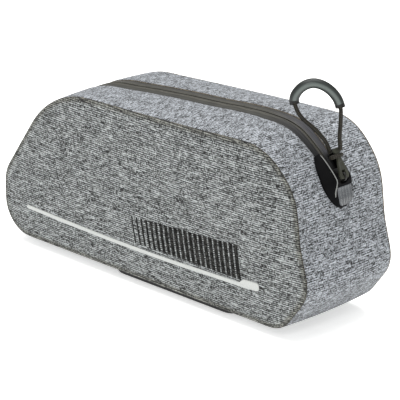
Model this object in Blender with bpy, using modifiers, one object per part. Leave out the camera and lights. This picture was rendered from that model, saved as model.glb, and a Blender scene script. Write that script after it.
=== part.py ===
"""Bicycle frame bag: a welded fabric case with a coated zip, a moulded zip dock and a cord pull.

The bag lies along X with its tall end at +X, its printed side at -Y and +Z up. It rests on the
flat underside of its base plate, whose level is z = 0. All lengths are in metres.
"""

import math
from collections import namedtuple

import bmesh
import bpy
import numpy as np
from mathutils import Matrix, Vector

COLLECTION_NAME = "bicycle_frame_bag"
CLEARANCE = 0.0003

# Fabric case
BAG_LENGTH = 0.240
BAG_HEIGHT = 0.102
BAG_HALF_WIDTH = 0.034
FABRIC_WALL = 0.0016
SIDE_PILLOW = 0.0030
PILLOW_REACH = 0.035
TOP_SWELL = 0.0024
SWELL_CENTRE = 0.040
SWELL_REACH = 0.078
ARC_STEP = math.radians(10.0)
RUN_STEP = 0.015
BAND_COLUMNS = 6
LOW_SHARE = 0.3
SHARP_ANGLE = math.radians(32.0)

# Base plate
PLATE_LENGTH = 0.096
PLATE_WIDTH = 0.054
PLATE_THICKNESS = 0.0052
PLATE_CENTRE = 0.012
PLATE_CORNER = 0.008
PLATE_CHAMFER = 0.0006

# Zip
ZIP_TAIL_HEIGHT = 0.068
ZIP_SLOT_HALF_WIDTH = 0.0080
DOCK_SLOT_HALF_WIDTH = 0.0056
SLOT_TAPER_LENGTH = 0.0360
TAPE_UNDERLAP = 0.0030
TAPE_THICKNESS = 0.0008
COIL_HALF_WIDTH = 0.0023
COIL_THICKNESS = 0.0011
ZIP_STEP = 0.006

# Zip dock
DOCK_FOOT_HEIGHT = 0.0650
DOCK_LENGTH = 0.0305
DOCK_BASE_HALF_WIDTH = 0.0114
DOCK_FAR_SHARE = 0.85
DOCK_CREST_HALF_WIDTH = 0.0050
DOCK_CREST_SHARE = 0.92
DOCK_HEIGHT = 0.0056
DOCK_RIM = 0.0006
DOCK_FLANK_POWER = 0.9
TROUGH_HALF_WIDTH = 0.0042
TROUGH_LENGTH = 0.0184

# Zip slider and its pull tab
SLIDER_LENGTH = 0.0080
SLIDER_HALF_WIDTH = 0.0038
SLIDER_THICKNESS = 0.0040
CROWN_SPAN = 0.0042
CROWN_RISE = 0.0042
CROWN_RADIUS = 0.0006
CROWN_POWER = 0.6
TAB_LENGTH = 0.0158
TAB_HALF_WIDTH = 0.0029
TAB_THICKNESS = 0.0012
TAB_BAR = 0.0016
TAB_EYE_HALF_WIDTH = 0.0012
TAB_EYE_LENGTH = 0.0026
TAB_NECK_HALF_WIDTH = 0.0013
TAB_HEAD_WIDTH = 0.8
TAB_TIP_WIDTH = 0.5
TAB_SHIFT = 0.0004
TAB_LEAN = math.radians(-2.0)

# Pull cord, its knot and the pull handle that it runs through
CORD_DIAMETER = 0.0023
KNOT_HALF_WIDTH = 0.0034
KNOT_HALF_DEPTH = 0.0021
KNOT_PLACE = 0.0116
HANDLE_DIAMETER = 0.0053
HANDLE_BORE = 0.0032
HANDLE_FIRST_POINT = 5
HANDLE_LAST_POINT = 11
CORD_ROUTE = [
    (0.1052, -0.0017, 0.0990),
    (0.1051, -0.0022, 0.1013),
    (0.1041, -0.0038, 0.1056),
    (0.1006, -0.0074, 0.1119),
    (0.0949, -0.0131, 0.1195),
    (0.0925, -0.0155, 0.1266),
    (0.0927, -0.0153, 0.1316),
    (0.0956, -0.0124, 0.1363),
    (0.0996, -0.0084, 0.1379),
    (0.1040, -0.0040, 0.1357),
    (0.1076, -0.0004, 0.1307),
    (0.1094, 0.0014, 0.1246),
    (0.1096, 0.0016, 0.1180),
    (0.1094, 0.0013, 0.1085),
    (0.1102, 0.0012, 0.1014),
]

# Reflective stripe on the printed side
STRIPE_THICKNESS = 0.0003
STRIPE_STEP = 0.008

BAG_BASE = PLATE_THICKNESS + CLEARANCE

# Corners of the side outline: place along as a share of half the length, height and fillet
# radius as shares of the bag's height.
Corner = namedtuple("Corner", "name along height radius")
OUTLINE_CORNERS = [
    Corner("tail foot", -1.000, 0.000, 0.196),
    Corner("tail knee", -0.995, 0.354, 0.186),
    Corner("tail shoulder", -0.652, 0.931, 0.590),
    Corner("head shoulder, upper", 0.750, 1.000, 0.333),
    Corner("head shoulder, lower", 0.925, 0.779, 0.343),
    Corner("head dent", 0.953, 0.500, 0.392),
    Corner("head belly", 1.012, 0.252, 0.181),
    Corner("head foot", 0.848, 0.000, 0.167),
]

# Height of the gusset's middle over its seams: place as a share of the way round the outline,
# height as a share of the bag's height. The stiff zip pulls the middle in at the head's shoulder.
DomeKnot = namedtuple("DomeKnot", "around height")
DOME_KNOTS = [
    DomeKnot(0.000, 0.0000),
    DomeKnot(0.042, 0.0147),
    DomeKnot(0.100, 0.0147),
    DomeKnot(0.150, 0.0098),
    DomeKnot(0.180, 0.0088),
    DomeKnot(0.200, 0.0118),
    DomeKnot(0.219, 0.0088),
    DomeKnot(0.241, 0.0088),
    DomeKnot(0.282, 0.0216),
    DomeKnot(0.322, 0.0314),
    DomeKnot(0.363, 0.0363),
    DomeKnot(0.393, 0.0431),
    DomeKnot(0.421, 0.0431),
    DomeKnot(0.445, 0.0314),
    DomeKnot(0.461, 0.0127),
    DomeKnot(0.476, -0.0059),
    DomeKnot(0.493, -0.0137),
    DomeKnot(0.518, -0.0098),
    DomeKnot(0.543, 0.0020),
    DomeKnot(0.576, 0.0147),
    DomeKnot(0.618, 0.0196),
    DomeKnot(0.660, 0.0098),
    DomeKnot(0.683, 0.0000),
    DomeKnot(1.000, 0.0000),
]

# Sections of the zip dock: place as a share of its length, base and crest widths as shares of
# their half widths, height as a share of its full height.
DockSection = namedtuple("DockSection", "along base crest height")
DOCK_SECTIONS = [
    DockSection(0.00, 0.62, 0.95, 0.36),
    DockSection(0.12, 0.79, 1.00, 0.58),
    DockSection(0.30, 0.96, 1.00, 0.78),
    DockSection(0.46, 1.00, 1.00, 0.94),
    DockSection(0.54, 0.99, 1.00, 1.00),
    DockSection(0.66, 0.92, 1.00, 0.74),
    DockSection(0.80, 0.74, 1.00, 0.69),
    DockSection(0.90, 0.55, 0.94, 0.54),
    DockSection(0.96, 0.38, 0.70, 0.36),
    DockSection(1.00, 0.22, 0.45, 0.18),
]

# Outline of the pull tab from the bar upward: place as a share of its length, width as a share of
# its half width.
TabSection = namedtuple("TabSection", "along width")
TAB_SECTIONS = [
    TabSection(-0.05, 0.80),
    TabSection(0.00, 1.00),
    TabSection(0.25, 1.00),
    TabSection(0.50, 0.80),
]

# Edges of the reflective stripe: place as a share of half the bag's length, lower and upper edges
# as shares of the bag's height.
StripeSection = namedtuple("StripeSection", "along low high")
STRIPE_SECTIONS = [
    StripeSection(-0.814, 0.186, 0.189),
    StripeSection(-0.800, 0.186, 0.208),
    StripeSection(-0.575, 0.178, 0.200),
    StripeSection(-0.290, 0.171, 0.193),
    StripeSection(0.000, 0.169, 0.192),
    StripeSection(0.233, 0.173, 0.196),
    StripeSection(0.367, 0.178, 0.201),
    StripeSection(0.500, 0.182, 0.205),
    StripeSection(0.613, 0.187, 0.209),
    StripeSection(0.640, 0.188, 0.234),
    StripeSection(0.683, 0.192, 0.241),
    StripeSection(0.722, 0.197, 0.246),
    StripeSection(0.733, 0.206, 0.238),
]

# Rings of a side panel, as shares of the way from its middle line out to the seam.
PANEL_RINGS = (1.0, 0.93, 0.82, 0.66, 0.46, 0.25)
PANEL_SPINE = ((-0.45, 0.42), (0.62, 0.48))


def clear_scene():
    """Remove every object, mesh, curve, material and collection of the scene."""
    for item in list(bpy.data.objects):
        bpy.data.objects.remove(item, do_unlink=True)
    for store in (bpy.data.meshes, bpy.data.curves, bpy.data.materials, bpy.data.collections):
        for item in list(store):
            store.remove(item)


def make_collection(name):
    """Add a collection to the scene."""
    collection = bpy.data.collections.new(name)
    bpy.context.scene.collection.children.link(collection)
    return collection


def make_material(name, colour, roughness, metallic=0.0):
    """Make a Principled material of one colour."""
    material = bpy.data.materials.new(name)
    material.use_nodes = True
    shader = material.node_tree.nodes["Principled BSDF"]
    shader.inputs["Base Color"].default_value = (*colour, 1.0)
    shader.inputs["Roughness"].default_value = roughness
    shader.inputs["Metallic"].default_value = metallic
    material.diffuse_color = (*colour, 1.0)
    return material


def add_object(name, mesh, collection, material=None):
    """Put a mesh into a collection as a named object, smooth but for its sharp edges."""
    mesh.name = name
    mesh.shade_smooth()
    mesh.set_sharp_from_angle(angle=SHARP_ANGLE)
    item = bpy.data.objects.new(name, mesh)
    collection.objects.link(item)
    if material is not None:
        mesh.materials.append(material)
    return item


def mesh_of(vertices, faces):
    """Make a mesh from its vertices and its faces, with the vertices that meet joined."""
    mesh = bpy.data.meshes.new("shape")
    mesh.from_pydata([tuple(float(value) for value in vertex) for vertex in vertices], [], faces)
    shape = bmesh.new()
    shape.from_mesh(mesh)
    bmesh.ops.remove_doubles(shape, verts=shape.verts, dist=1e-6)
    shape.to_mesh(mesh)
    shape.free()
    return mesh


def face_outward(mesh):
    """Turn the faces of a closed mesh outward."""
    shape = bmesh.new()
    shape.from_mesh(mesh)
    bmesh.ops.recalc_face_normals(shape, faces=shape.faces)
    shape.to_mesh(mesh)
    shape.free()
    return mesh


def hide_cutter(item):
    """Keep a cutter out of the render and show it as wire."""
    item.hide_render = True
    item.display_type = "WIRE"


def add_boolean(item, operand, operation):
    """Cut or join an object with another by the exact solver."""
    modifier = item.modifiers.new(operation.lower(), "BOOLEAN")
    modifier.operation = operation
    modifier.solver = "EXACT"
    modifier.object = operand
    hide_cutter(operand)


def add_solidify(item, thickness):
    """Give an open surface its wall, on the side away from its normals."""
    modifier = item.modifiers.new("wall", "SOLIDIFY")
    modifier.thickness = thickness
    modifier.offset = -1.0
    modifier.use_even_offset = True


def rounded_outline():
    """Points of the bag's side outline, from the tail foot up over the top and back below.

    Each corner is an arc that touches both of its runs, sampled by ARC_STEP, and each straight
    run is cut into steps of at most RUN_STEP.
    """
    corners = [np.array((c.along * BAG_LENGTH / 2, c.height * BAG_HEIGHT)) for c in OUTLINE_CORNERS]
    count = len(corners)
    arcs = []
    for index, corner in enumerate(corners):
        way_in = corner - corners[index - 1]
        way_out = corners[(index + 1) % count] - corner
        way_in = way_in / np.linalg.norm(way_in)
        way_out = way_out / np.linalg.norm(way_out)
        turn = math.atan2(
            way_in[0] * way_out[1] - way_in[1] * way_out[0],
            float(way_in @ way_out),
        )
        radius = OUTLINE_CORNERS[index].radius * BAG_HEIGHT
        start = corner - way_in * radius * math.tan(abs(turn) / 2)
        side = math.copysign(1.0, turn)
        centre = start + side * radius * np.array((-way_in[1], way_in[0]))
        steps = max(2, math.ceil(abs(turn) / ARC_STEP))
        arc = []
        for step in range(steps + 1):
            angle = turn * step / steps
            spoke = start - centre
            arc.append(centre + np.array((
                spoke[0] * math.cos(angle) - spoke[1] * math.sin(angle),
                spoke[0] * math.sin(angle) + spoke[1] * math.cos(angle),
            )))
        arcs.append(arc)
    points = []
    for index, arc in enumerate(arcs):
        points.extend(arc)
        run_end = arcs[(index + 1) % count][0]
        run = run_end - arc[-1]
        steps = max(1, math.ceil(np.linalg.norm(run) / RUN_STEP))
        points.extend(arc[-1] + run * step / steps for step in range(1, steps))
    return np.array(points)


class Outline:
    """The closed side outline, read by the distance along it from its first point."""

    def __init__(self):
        self.points = rounded_outline()
        closed = np.vstack([self.points, self.points[:1]])
        steps = np.diff(closed, axis=0)
        lengths = np.linalg.norm(steps, axis=1)
        self.stations = np.concatenate([[0.0], np.cumsum(lengths)])
        ways = steps / lengths[:, None]
        normals = np.stack([-ways[:, 1], ways[:, 0]], axis=1)
        mixed = normals + np.roll(normals, 1, axis=0)
        self.normals = mixed / np.linalg.norm(mixed, axis=1)[:, None]
        self.closed = closed
        self.closed_normals = np.vstack([self.normals, self.normals[:1]])

    def place(self, station):
        """Point of the outline at a station."""
        return np.array([np.interp(station, self.stations, self.closed[:, k]) for k in (0, 1)])

    def normal(self, station):
        """Unit vector that points out of the bag at a station."""
        way = np.array(
            [np.interp(station, self.stations, self.closed_normals[:, k]) for k in (0, 1)]
        )
        return way / np.linalg.norm(way)

    def station_at(self, height, at_head):
        """Station where the rising tail side, or the falling head side, has a given height."""
        heights = self.closed[:, 1]
        top = int(np.argmax(heights))
        if at_head:
            lowest = top + int(np.argmax(heights[top:] < LOW_SHARE * BAG_HEIGHT))
            part = slice(top, lowest + 1)
            return float(np.interp(-height, -heights[part], self.stations[part]))
        return float(np.interp(height, heights[: top + 1], self.stations[: top + 1]))

    def distance(self, point):
        """Shortest distance from a point inside the outline to the outline."""
        starts = self.closed[:-1]
        ways = self.closed[1:] - starts
        shares = ((point - starts) * ways).sum(axis=1) / (ways * ways).sum(axis=1)
        nearest = starts + np.clip(shares, 0.0, 1.0)[:, None] * ways
        return float(np.linalg.norm(nearest - point, axis=1).min())


def seam_half_width(point):
    """Half the bag's width at its seam: the full top swells a little sideways."""
    rise = min(max(point[1] / BAG_HEIGHT, 0.0), 1.0) ** 2
    reach = max(1.0 - ((point[0] - SWELL_CENTRE) / SWELL_REACH) ** 2, 0.0)
    return BAG_HALF_WIDTH + TOP_SWELL * rise * reach


def panel_half_width(outline, point):
    """Half the bag's width on a side panel, which is a pillow that rises from the seam."""
    share = min(outline.distance(point) / PILLOW_REACH, 1.0)
    return seam_half_width(point) + SIDE_PILLOW * (1.0 - (1.0 - share) ** 2)


def band_height(outline, station, across):
    """Height of the gusset's dome over the seam line: full in the middle, nothing at the seams."""
    arounds = [knot.around for knot in DOME_KNOTS]
    heights = [knot.height * BAG_HEIGHT for knot in DOME_KNOTS]
    dome = float(np.interp(station / outline.stations[-1], arounds, heights))
    share = across / seam_half_width(outline.place(station))
    return dome * (1.0 - share * share)


def band_point(outline, station, across, offset):
    """Point over the gusset at a station and a place across, raised by an offset."""
    raised = outline.place(station)
    raised = raised + outline.normal(station) * (band_height(outline, station, across) + offset)
    return Vector((raised[0], across, raised[1] + BAG_BASE))


def stations_between(outline, first, last, step):
    """Stations from first to last, with the outline's own points kept among them."""
    count = max(2, math.ceil((last - first) / step))
    return [first + (last - first) * index / count for index in range(count + 1)]


def band_slab(outline, stations, edges, low, high, columns):
    """Closed slab that follows the gusset.

    edges gives both side places at a station, low and high give the offsets of the lower and
    upper skins at a station and a share across from 0 to 1.
    """
    rows = len(stations)
    vertices = []
    for skin in (low, high):
        for station in stations:
            left, right = edges(station)
            for column in range(columns + 1):
                share = column / columns
                across = left + (right - left) * share
                vertices.append(band_point(outline, station, across, skin(station, share)))
    width = columns + 1
    size = rows * width
    faces = []
    for row in range(rows - 1):
        for column in range(columns):
            corner = row * width + column
            faces.append((corner, corner + 1, corner + width + 1, corner + width))
            upper = corner + size
            faces.append((upper, upper + width, upper + width + 1, upper + 1))
    for row in range(rows - 1):
        for column in (0, columns):
            corner = row * width + column
            faces.append((corner, corner + width, corner + width + size, corner + size))
    for row in (0, rows - 1):
        for column in range(columns):
            corner = row * width + column
            faces.append((corner, corner + 1, corner + 1 + size, corner + size))
    return face_outward(mesh_of(vertices, faces))


def local_frame(outline, station, offset):
    """Matrix at a station over the gusset: X up along the zip, Y across, Z out of the bag."""
    normal = outline.normal(station)
    out = Vector((normal[0], 0.0, normal[1]))
    across = Vector((0.0, -1.0, 0.0))
    along = across.cross(out)
    frame = Matrix((along, across, out)).transposed().to_4x4()
    frame.translation = band_point(outline, station, 0.0, offset)
    return frame


def slot_half_width(station, dock_first):
    """Half width of the zip's slot, which narrows before it runs under the dock."""
    narrowed = (station - dock_first + SLOT_TAPER_LENGTH) / SLOT_TAPER_LENGTH
    share = min(max(narrowed, 0.0), 1.0)
    return ZIP_SLOT_HALF_WIDTH + (DOCK_SLOT_HALF_WIDTH - ZIP_SLOT_HALF_WIDTH) * share


def build_gusset_band(outline, zip_first, dock_first, parts, cutters, material):
    """Fabric band that runs right round the bag, with the slot for the zip."""
    points = outline.points
    vertices = []
    for station, point in zip(outline.stations, points):
        half = seam_half_width(point) - FABRIC_WALL - CLEARANCE
        for column in range(BAND_COLUMNS + 1):
            across = half * (2.0 * column / BAND_COLUMNS - 1.0)
            vertices.append(band_point(outline, station, across, 0.0))
    width = BAND_COLUMNS + 1
    count = len(points)
    faces = []
    for row in range(count):
        below = ((row + 1) % count) * width
        for column in range(BAND_COLUMNS):
            corner = row * width + column
            faces.append((corner, below + column, below + column + 1, corner + 1))
    band = add_object("gusset_band", mesh_of(vertices, faces), parts, material)
    add_solidify(band, FABRIC_WALL)

    def slot_edges(station):
        half = slot_half_width(station, dock_first)
        return -half, half

    zip_last = dock_first + TROUGH_LENGTH + CLEARANCE
    slot = band_slab(
        outline,
        stations_between(outline, zip_first, zip_last, ZIP_STEP),
        slot_edges,
        lambda station, share: -3.0 * FABRIC_WALL,
        lambda station, share: 2.0 * FABRIC_WALL,
        2,
    )
    add_boolean(band, add_object("zip_slot_cutter", slot, cutters), "DIFFERENCE")
    return band


def build_side_panel(name, outline, side, parts, material):
    """Pillowed fabric side, closed over the gusset's edge. side is -1 for near and 1 for far."""
    spine = [np.array((a * BAG_LENGTH / 2, h * BAG_HEIGHT)) for a, h in PANEL_SPINE]
    way = spine[1] - spine[0]
    count = len(outline.points)
    vertices = []
    for ring in PANEL_RINGS:
        for point in outline.points:
            share = float((point - spine[0]) @ way / (way @ way))
            middle = spine[0] + way * min(max(share, 0.0), 1.0)
            spot = middle + (point - middle) * ring
            across = side * panel_half_width(outline, spot)
            vertices.append(Vector((spot[0], across, spot[1] + BAG_BASE)))
    faces = []
    for row in range(len(PANEL_RINGS) - 1):
        for column in range(count):
            after = (column + 1) % count
            quad = (
                row * count + column,
                row * count + after,
                (row + 1) * count + after,
                (row + 1) * count + column,
            )
            faces.append(quad if side > 0 else quad[::-1])
    last = (len(PANEL_RINGS) - 1) * count
    cap = tuple(range(last, last + count))
    faces.append(cap if side > 0 else cap[::-1])
    panel = add_object(name, mesh_of(vertices, faces), parts, material)
    add_solidify(panel, FABRIC_WALL)
    return panel


def build_zip(outline, zip_first, dock_first, parts, tape_material, coil_material):
    """Two coated tapes under the slot's edges and the closed coil between them."""
    zip_last = dock_first + TROUGH_LENGTH + CLEARANCE
    first = zip_first - TAPE_UNDERLAP
    last = zip_last + TAPE_UNDERLAP
    outer = ZIP_SLOT_HALF_WIDTH + TAPE_UNDERLAP
    inner = CLEARANCE
    top = -FABRIC_WALL - CLEARANCE
    stations = stations_between(outline, first, last, ZIP_STEP)
    for name, side in (("zip_tape_near", -1.0), ("zip_tape_far", 1.0)):
        edges = sorted((side * inner, side * outer))
        tape = band_slab(
            outline,
            stations,
            lambda station, edges=edges: edges,
            lambda station, share: top - TAPE_THICKNESS,
            lambda station, share: top,
            2,
        )
        add_object(name, tape, parts, tape_material)
    coil_low = top + CLEARANCE
    coil_stations = stations_between(outline, zip_first + CLEARANCE, zip_last - CLEARANCE, ZIP_STEP)
    coil = band_slab(
        outline,
        coil_stations,
        lambda station: (-COIL_HALF_WIDTH, COIL_HALF_WIDTH),
        lambda station, share: coil_low,
        lambda station, share: coil_low + COIL_THICKNESS,
        2,
    )
    add_object("zip_coil", coil, parts, coil_material)
    return coil_low + COIL_THICKNESS


def build_zip_dock(outline, dock_first, parts, cutters, material):
    """Moulded dock that takes the slider in: sloping flanks, a crest and an open trough."""
    alongs = [section.along for section in DOCK_SECTIONS]

    def read(column, station):
        share = (station - dock_first) / DOCK_LENGTH
        return float(np.interp(share, alongs, [getattr(row, column) for row in DOCK_SECTIONS]))

    def edges(station):
        half = read("base", station) * DOCK_BASE_HALF_WIDTH
        return -half, half * DOCK_FAR_SHARE

    def crest(station, share):
        near, far = edges(station)
        across = near + (far - near) * share
        base = abs(near) if across < 0.0 else far
        flat = min(read("crest", station) * DOCK_CREST_HALF_WIDTH, DOCK_CREST_SHARE * base)
        height = read("height", station) * DOCK_HEIGHT
        rise = min(max(base - abs(across), 0.0) / (base - flat), 1.0)
        curve = math.sin(rise * math.pi / 2) ** DOCK_FLANK_POWER
        return CLEARANCE + DOCK_RIM + (height - DOCK_RIM) * curve

    stations = stations_between(outline, dock_first, dock_first + DOCK_LENGTH, DOCK_LENGTH / 18)
    dock = add_object(
        "zip_dock",
        band_slab(outline, stations, edges, lambda station, share: CLEARANCE, crest, 16),
        parts,
        material,
    )
    stations = stations_between(
        outline, dock_first - DOCK_RIM, dock_first + TROUGH_LENGTH, DOCK_LENGTH / 10
    )
    trough = band_slab(
        outline,
        stations,
        lambda station: (-TROUGH_HALF_WIDTH, TROUGH_HALF_WIDTH),
        lambda station, share: -CLEARANCE,
        lambda station, share: 2.0 * DOCK_HEIGHT,
        2,
    )
    add_boolean(dock, add_object("dock_trough_cutter", trough, cutters), "DIFFERENCE")
    return dock


def tube_object(name, points, radius, collection, sides=2, closed=False):
    """Mesh tube with capped ends along a line of points."""
    curve = bpy.data.curves.new(name, "CURVE")
    curve.dimensions = "3D"
    curve.bevel_depth = radius
    curve.bevel_resolution = sides
    curve.use_fill_caps = True
    spline = curve.splines.new("POLY")
    spline.points.add(len(points) - 1)
    for spot, point in zip(spline.points, points):
        spot.co = (*point, 1.0)
    spline.use_cyclic_u = closed
    guide = bpy.data.objects.new(name, curve)
    collection.objects.link(guide)
    bpy.context.view_layer.update()
    evaluated = guide.evaluated_get(bpy.context.evaluated_depsgraph_get())
    mesh = bpy.data.meshes.new_from_object(evaluated)
    bpy.data.objects.remove(guide, do_unlink=True)
    shape = bmesh.new()
    shape.from_mesh(mesh)
    bmesh.ops.remove_doubles(shape, verts=shape.verts, dist=1e-6)
    bmesh.ops.recalc_face_normals(shape, faces=shape.faces)
    shape.to_mesh(mesh)
    shape.free()
    return add_object(name, mesh, collection)


def build_slider(outline, station, bottom, parts, cutters, material):
    """Slider body that hugs the coil, with the arched crown that holds the pull tab."""
    half = SLIDER_LENGTH / 2
    stations = stations_between(outline, station - half, station + half, SLIDER_LENGTH / 6)
    body = band_slab(
        outline,
        stations,
        lambda spot: (-SLIDER_HALF_WIDTH, SLIDER_HALF_WIDTH),
        lambda spot, share: bottom,
        lambda spot, share: bottom + SLIDER_THICKNESS,
        4,
    )
    slider = add_object("zip_slider", body, parts, material)
    crown_station = station + half - CROWN_RADIUS - CLEARANCE - CROWN_SPAN / 2
    frame = local_frame(outline, crown_station, bottom + SLIDER_THICKNESS)
    arch = [(-CROWN_SPAN / 2, -CROWN_RADIUS * 2)]
    for step in range(9):
        angle = math.pi * step / 8
        arch.append((
            -CROWN_SPAN / 2 * math.copysign(abs(math.cos(angle)) ** CROWN_POWER, math.cos(angle)),
            CROWN_RISE * math.sin(angle) ** CROWN_POWER,
        ))
    arch.append((CROWN_SPAN / 2, -CROWN_RADIUS * 2))
    points = [frame @ Vector((along, 0.0, out)) for along, out in arch]
    crown = tube_object("slider_crown_joiner", points, CROWN_RADIUS, cutters)
    add_boolean(slider, crown, "UNION")
    return frame


def build_pull_tab(frame, parts, cutters, material):
    """Flat tab that hangs on the crown by its eye and ends in the neck and head for the cord."""
    outline = [(row.along * TAB_LENGTH, row.width * TAB_HALF_WIDTH) for row in TAB_SECTIONS]
    neck_first = KNOT_PLACE - CORD_DIAMETER / 2 - CLEARANCE
    neck_last = KNOT_PLACE + CORD_DIAMETER / 2 + CLEARANCE
    outline += [
        (neck_first, TAB_NECK_HALF_WIDTH),
        (neck_last, TAB_NECK_HALF_WIDTH),
        (neck_last + TAB_THICKNESS / 2, TAB_HEAD_WIDTH * TAB_HALF_WIDTH),
        (TAB_LENGTH - TAB_THICKNESS / 2, TAB_HEAD_WIDTH * TAB_HALF_WIDTH),
        (TAB_LENGTH, TAB_TIP_WIDTH * TAB_HALF_WIDTH),
    ]
    ring = outline + [(along, -width) for along, width in reversed(outline)]
    count = len(ring)
    half = TAB_THICKNESS / 2
    vertices = [(along, width, -half) for along, width in ring]
    vertices += [(along, width, half) for along, width in ring]
    faces = [tuple(range(count)), tuple(range(count, 2 * count))]
    for index in range(count):
        after = (index + 1) % count
        faces.append((index, after, after + count, index + count))
    tab = add_object("pull_tab", face_outward(mesh_of(vertices, faces)), parts, material)
    bar_height = CROWN_RISE - CROWN_RADIUS - CLEARANCE - TAB_THICKNESS
    lean = Matrix.Rotation(TAB_LEAN, 4, "Y")
    place = frame @ Matrix.Translation((-TAB_SHIFT, 0.0, bar_height)) @ lean
    tab.matrix_world = place
    shape = bmesh.new()
    bmesh.ops.create_cube(shape, size=1.0)
    eye_size = (TAB_EYE_LENGTH, 2 * TAB_EYE_HALF_WIDTH, 4 * TAB_THICKNESS)
    bmesh.ops.scale(shape, vec=eye_size, verts=shape.verts)
    eye_place = (TAB_BAR / 2 + TAB_EYE_LENGTH / 2, 0.0, 0.0)
    bmesh.ops.translate(shape, vec=eye_place, verts=shape.verts)
    mesh = bpy.data.meshes.new("tab_eye")
    shape.to_mesh(mesh)
    shape.free()
    eye = add_object("tab_eye_cutter", mesh, cutters)
    eye.matrix_world = place
    add_boolean(tab, eye, "DIFFERENCE")
    return place


def build_knot(place, parts, material):
    """The cord's turn round the neck of the tab."""
    points = []
    for step in range(20):
        angle = 2.0 * math.pi * step / 20
        spot = Vector((
            KNOT_PLACE,
            KNOT_HALF_WIDTH * math.cos(angle),
            KNOT_HALF_DEPTH * math.sin(angle),
        ))
        points.append(place @ spot)
    knot = tube_object("cord_knot", points, CORD_DIAMETER / 2, parts, closed=True)
    knot.data.materials.append(material)
    return knot


def smooth_route(route, steps):
    """Points of a Catmull-Rom curve through a route, with the place of each route point."""
    spots = [Vector(point) for point in route]
    spots = [2 * spots[0] - spots[1]] + spots + [2 * spots[-1] - spots[-2]]
    points = []
    for index in range(1, len(spots) - 2):
        before, start, end, after = spots[index - 1: index + 3]
        for step in range(steps):
            t = step / steps
            points.append(0.5 * (
                2 * start
                + (end - before) * t
                + (2 * before - 5 * start + 4 * end - after) * t ** 2
                + (3 * start - before - 3 * end + after) * t ** 3
            ))
    points.append(spots[-2])
    return points


def build_cord_and_handle(parts, cutters, cord_material, handle_material):
    """Pull cord along its route, and the bored handle on the route's upper stretch."""
    steps = 3
    points = smooth_route(CORD_ROUTE, steps)
    cord = tube_object("pull_cord", points, CORD_DIAMETER / 2, parts)
    cord.data.materials.append(cord_material)
    first = HANDLE_FIRST_POINT * steps
    last = HANDLE_LAST_POINT * steps
    stretch = points[first: last + 1]
    handle = tube_object("pull_handle", stretch, HANDLE_DIAMETER / 2, parts, sides=4)
    handle.data.materials.append(handle_material)
    start_way = (stretch[0] - stretch[1]).normalized() * CORD_DIAMETER
    end_way = (stretch[-1] - stretch[-2]).normalized() * CORD_DIAMETER
    bore_line = [stretch[0] + start_way] + stretch + [stretch[-1] + end_way]
    bore = tube_object("handle_bore_cutter", bore_line, HANDLE_BORE / 2, cutters, sides=2)
    add_boolean(handle, bore, "DIFFERENCE")


def build_base_plate(parts, material):
    """Flat plate that the bag stands on, with rounded corners and a chamfered lower edge."""
    shape = bmesh.new()
    bmesh.ops.create_cube(shape, size=1.0)
    bmesh.ops.scale(shape, vec=(PLATE_LENGTH, PLATE_WIDTH, PLATE_THICKNESS), verts=shape.verts)
    upright = [edge for edge in shape.edges if abs(edge.verts[0].co.z - edge.verts[1].co.z) > 1e-6]
    bmesh.ops.bevel(
        shape, geom=upright, offset=PLATE_CORNER, segments=5, affect="EDGES", profile=0.5
    )
    lowest = min(vertex.co.z for vertex in shape.verts)
    lower = [edge for edge in shape.edges if all(v.co.z < lowest + 1e-6 for v in edge.verts)]
    bmesh.ops.bevel(
        shape, geom=lower, offset=PLATE_CHAMFER, segments=1, affect="EDGES", profile=0.5
    )
    mesh = bpy.data.meshes.new("base_plate")
    shape.to_mesh(mesh)
    shape.free()
    plate = add_object("base_plate", mesh, parts, material)
    plate.location = (PLATE_CENTRE, 0.0, PLATE_THICKNESS / 2)
    return plate


def build_stripe(outline, parts, material):
    """Thin reflective stripe with its wider end, laid on the near side panel."""
    rows = []
    for first, last in zip(STRIPE_SECTIONS, STRIPE_SECTIONS[1:]):
        run = (last.along - first.along) * BAG_LENGTH / 2
        steps = max(1, math.ceil(run / STRIPE_STEP))
        rows.extend(
            [a + (b - a) * step / steps for a, b in zip(first, last)] for step in range(steps)
        )
    rows.append(list(STRIPE_SECTIONS[-1]))
    vertices = []
    for along, low, high in rows:
        for height in (low, (low + high) / 2, high):
            spot = np.array((along * BAG_LENGTH / 2, height * BAG_HEIGHT))
            across = -panel_half_width(outline, spot) - CLEARANCE - STRIPE_THICKNESS
            vertices.append(Vector((spot[0], across, spot[1] + BAG_BASE)))
    faces = []
    for row in range(len(rows) - 1):
        for column in range(2):
            corner = row * 3 + column
            faces.append((corner, corner + 3, corner + 4, corner + 1))
    stripe = add_object("reflective_stripe", mesh_of(vertices, faces), parts, material)
    add_solidify(stripe, STRIPE_THICKNESS)
    return stripe


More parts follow.
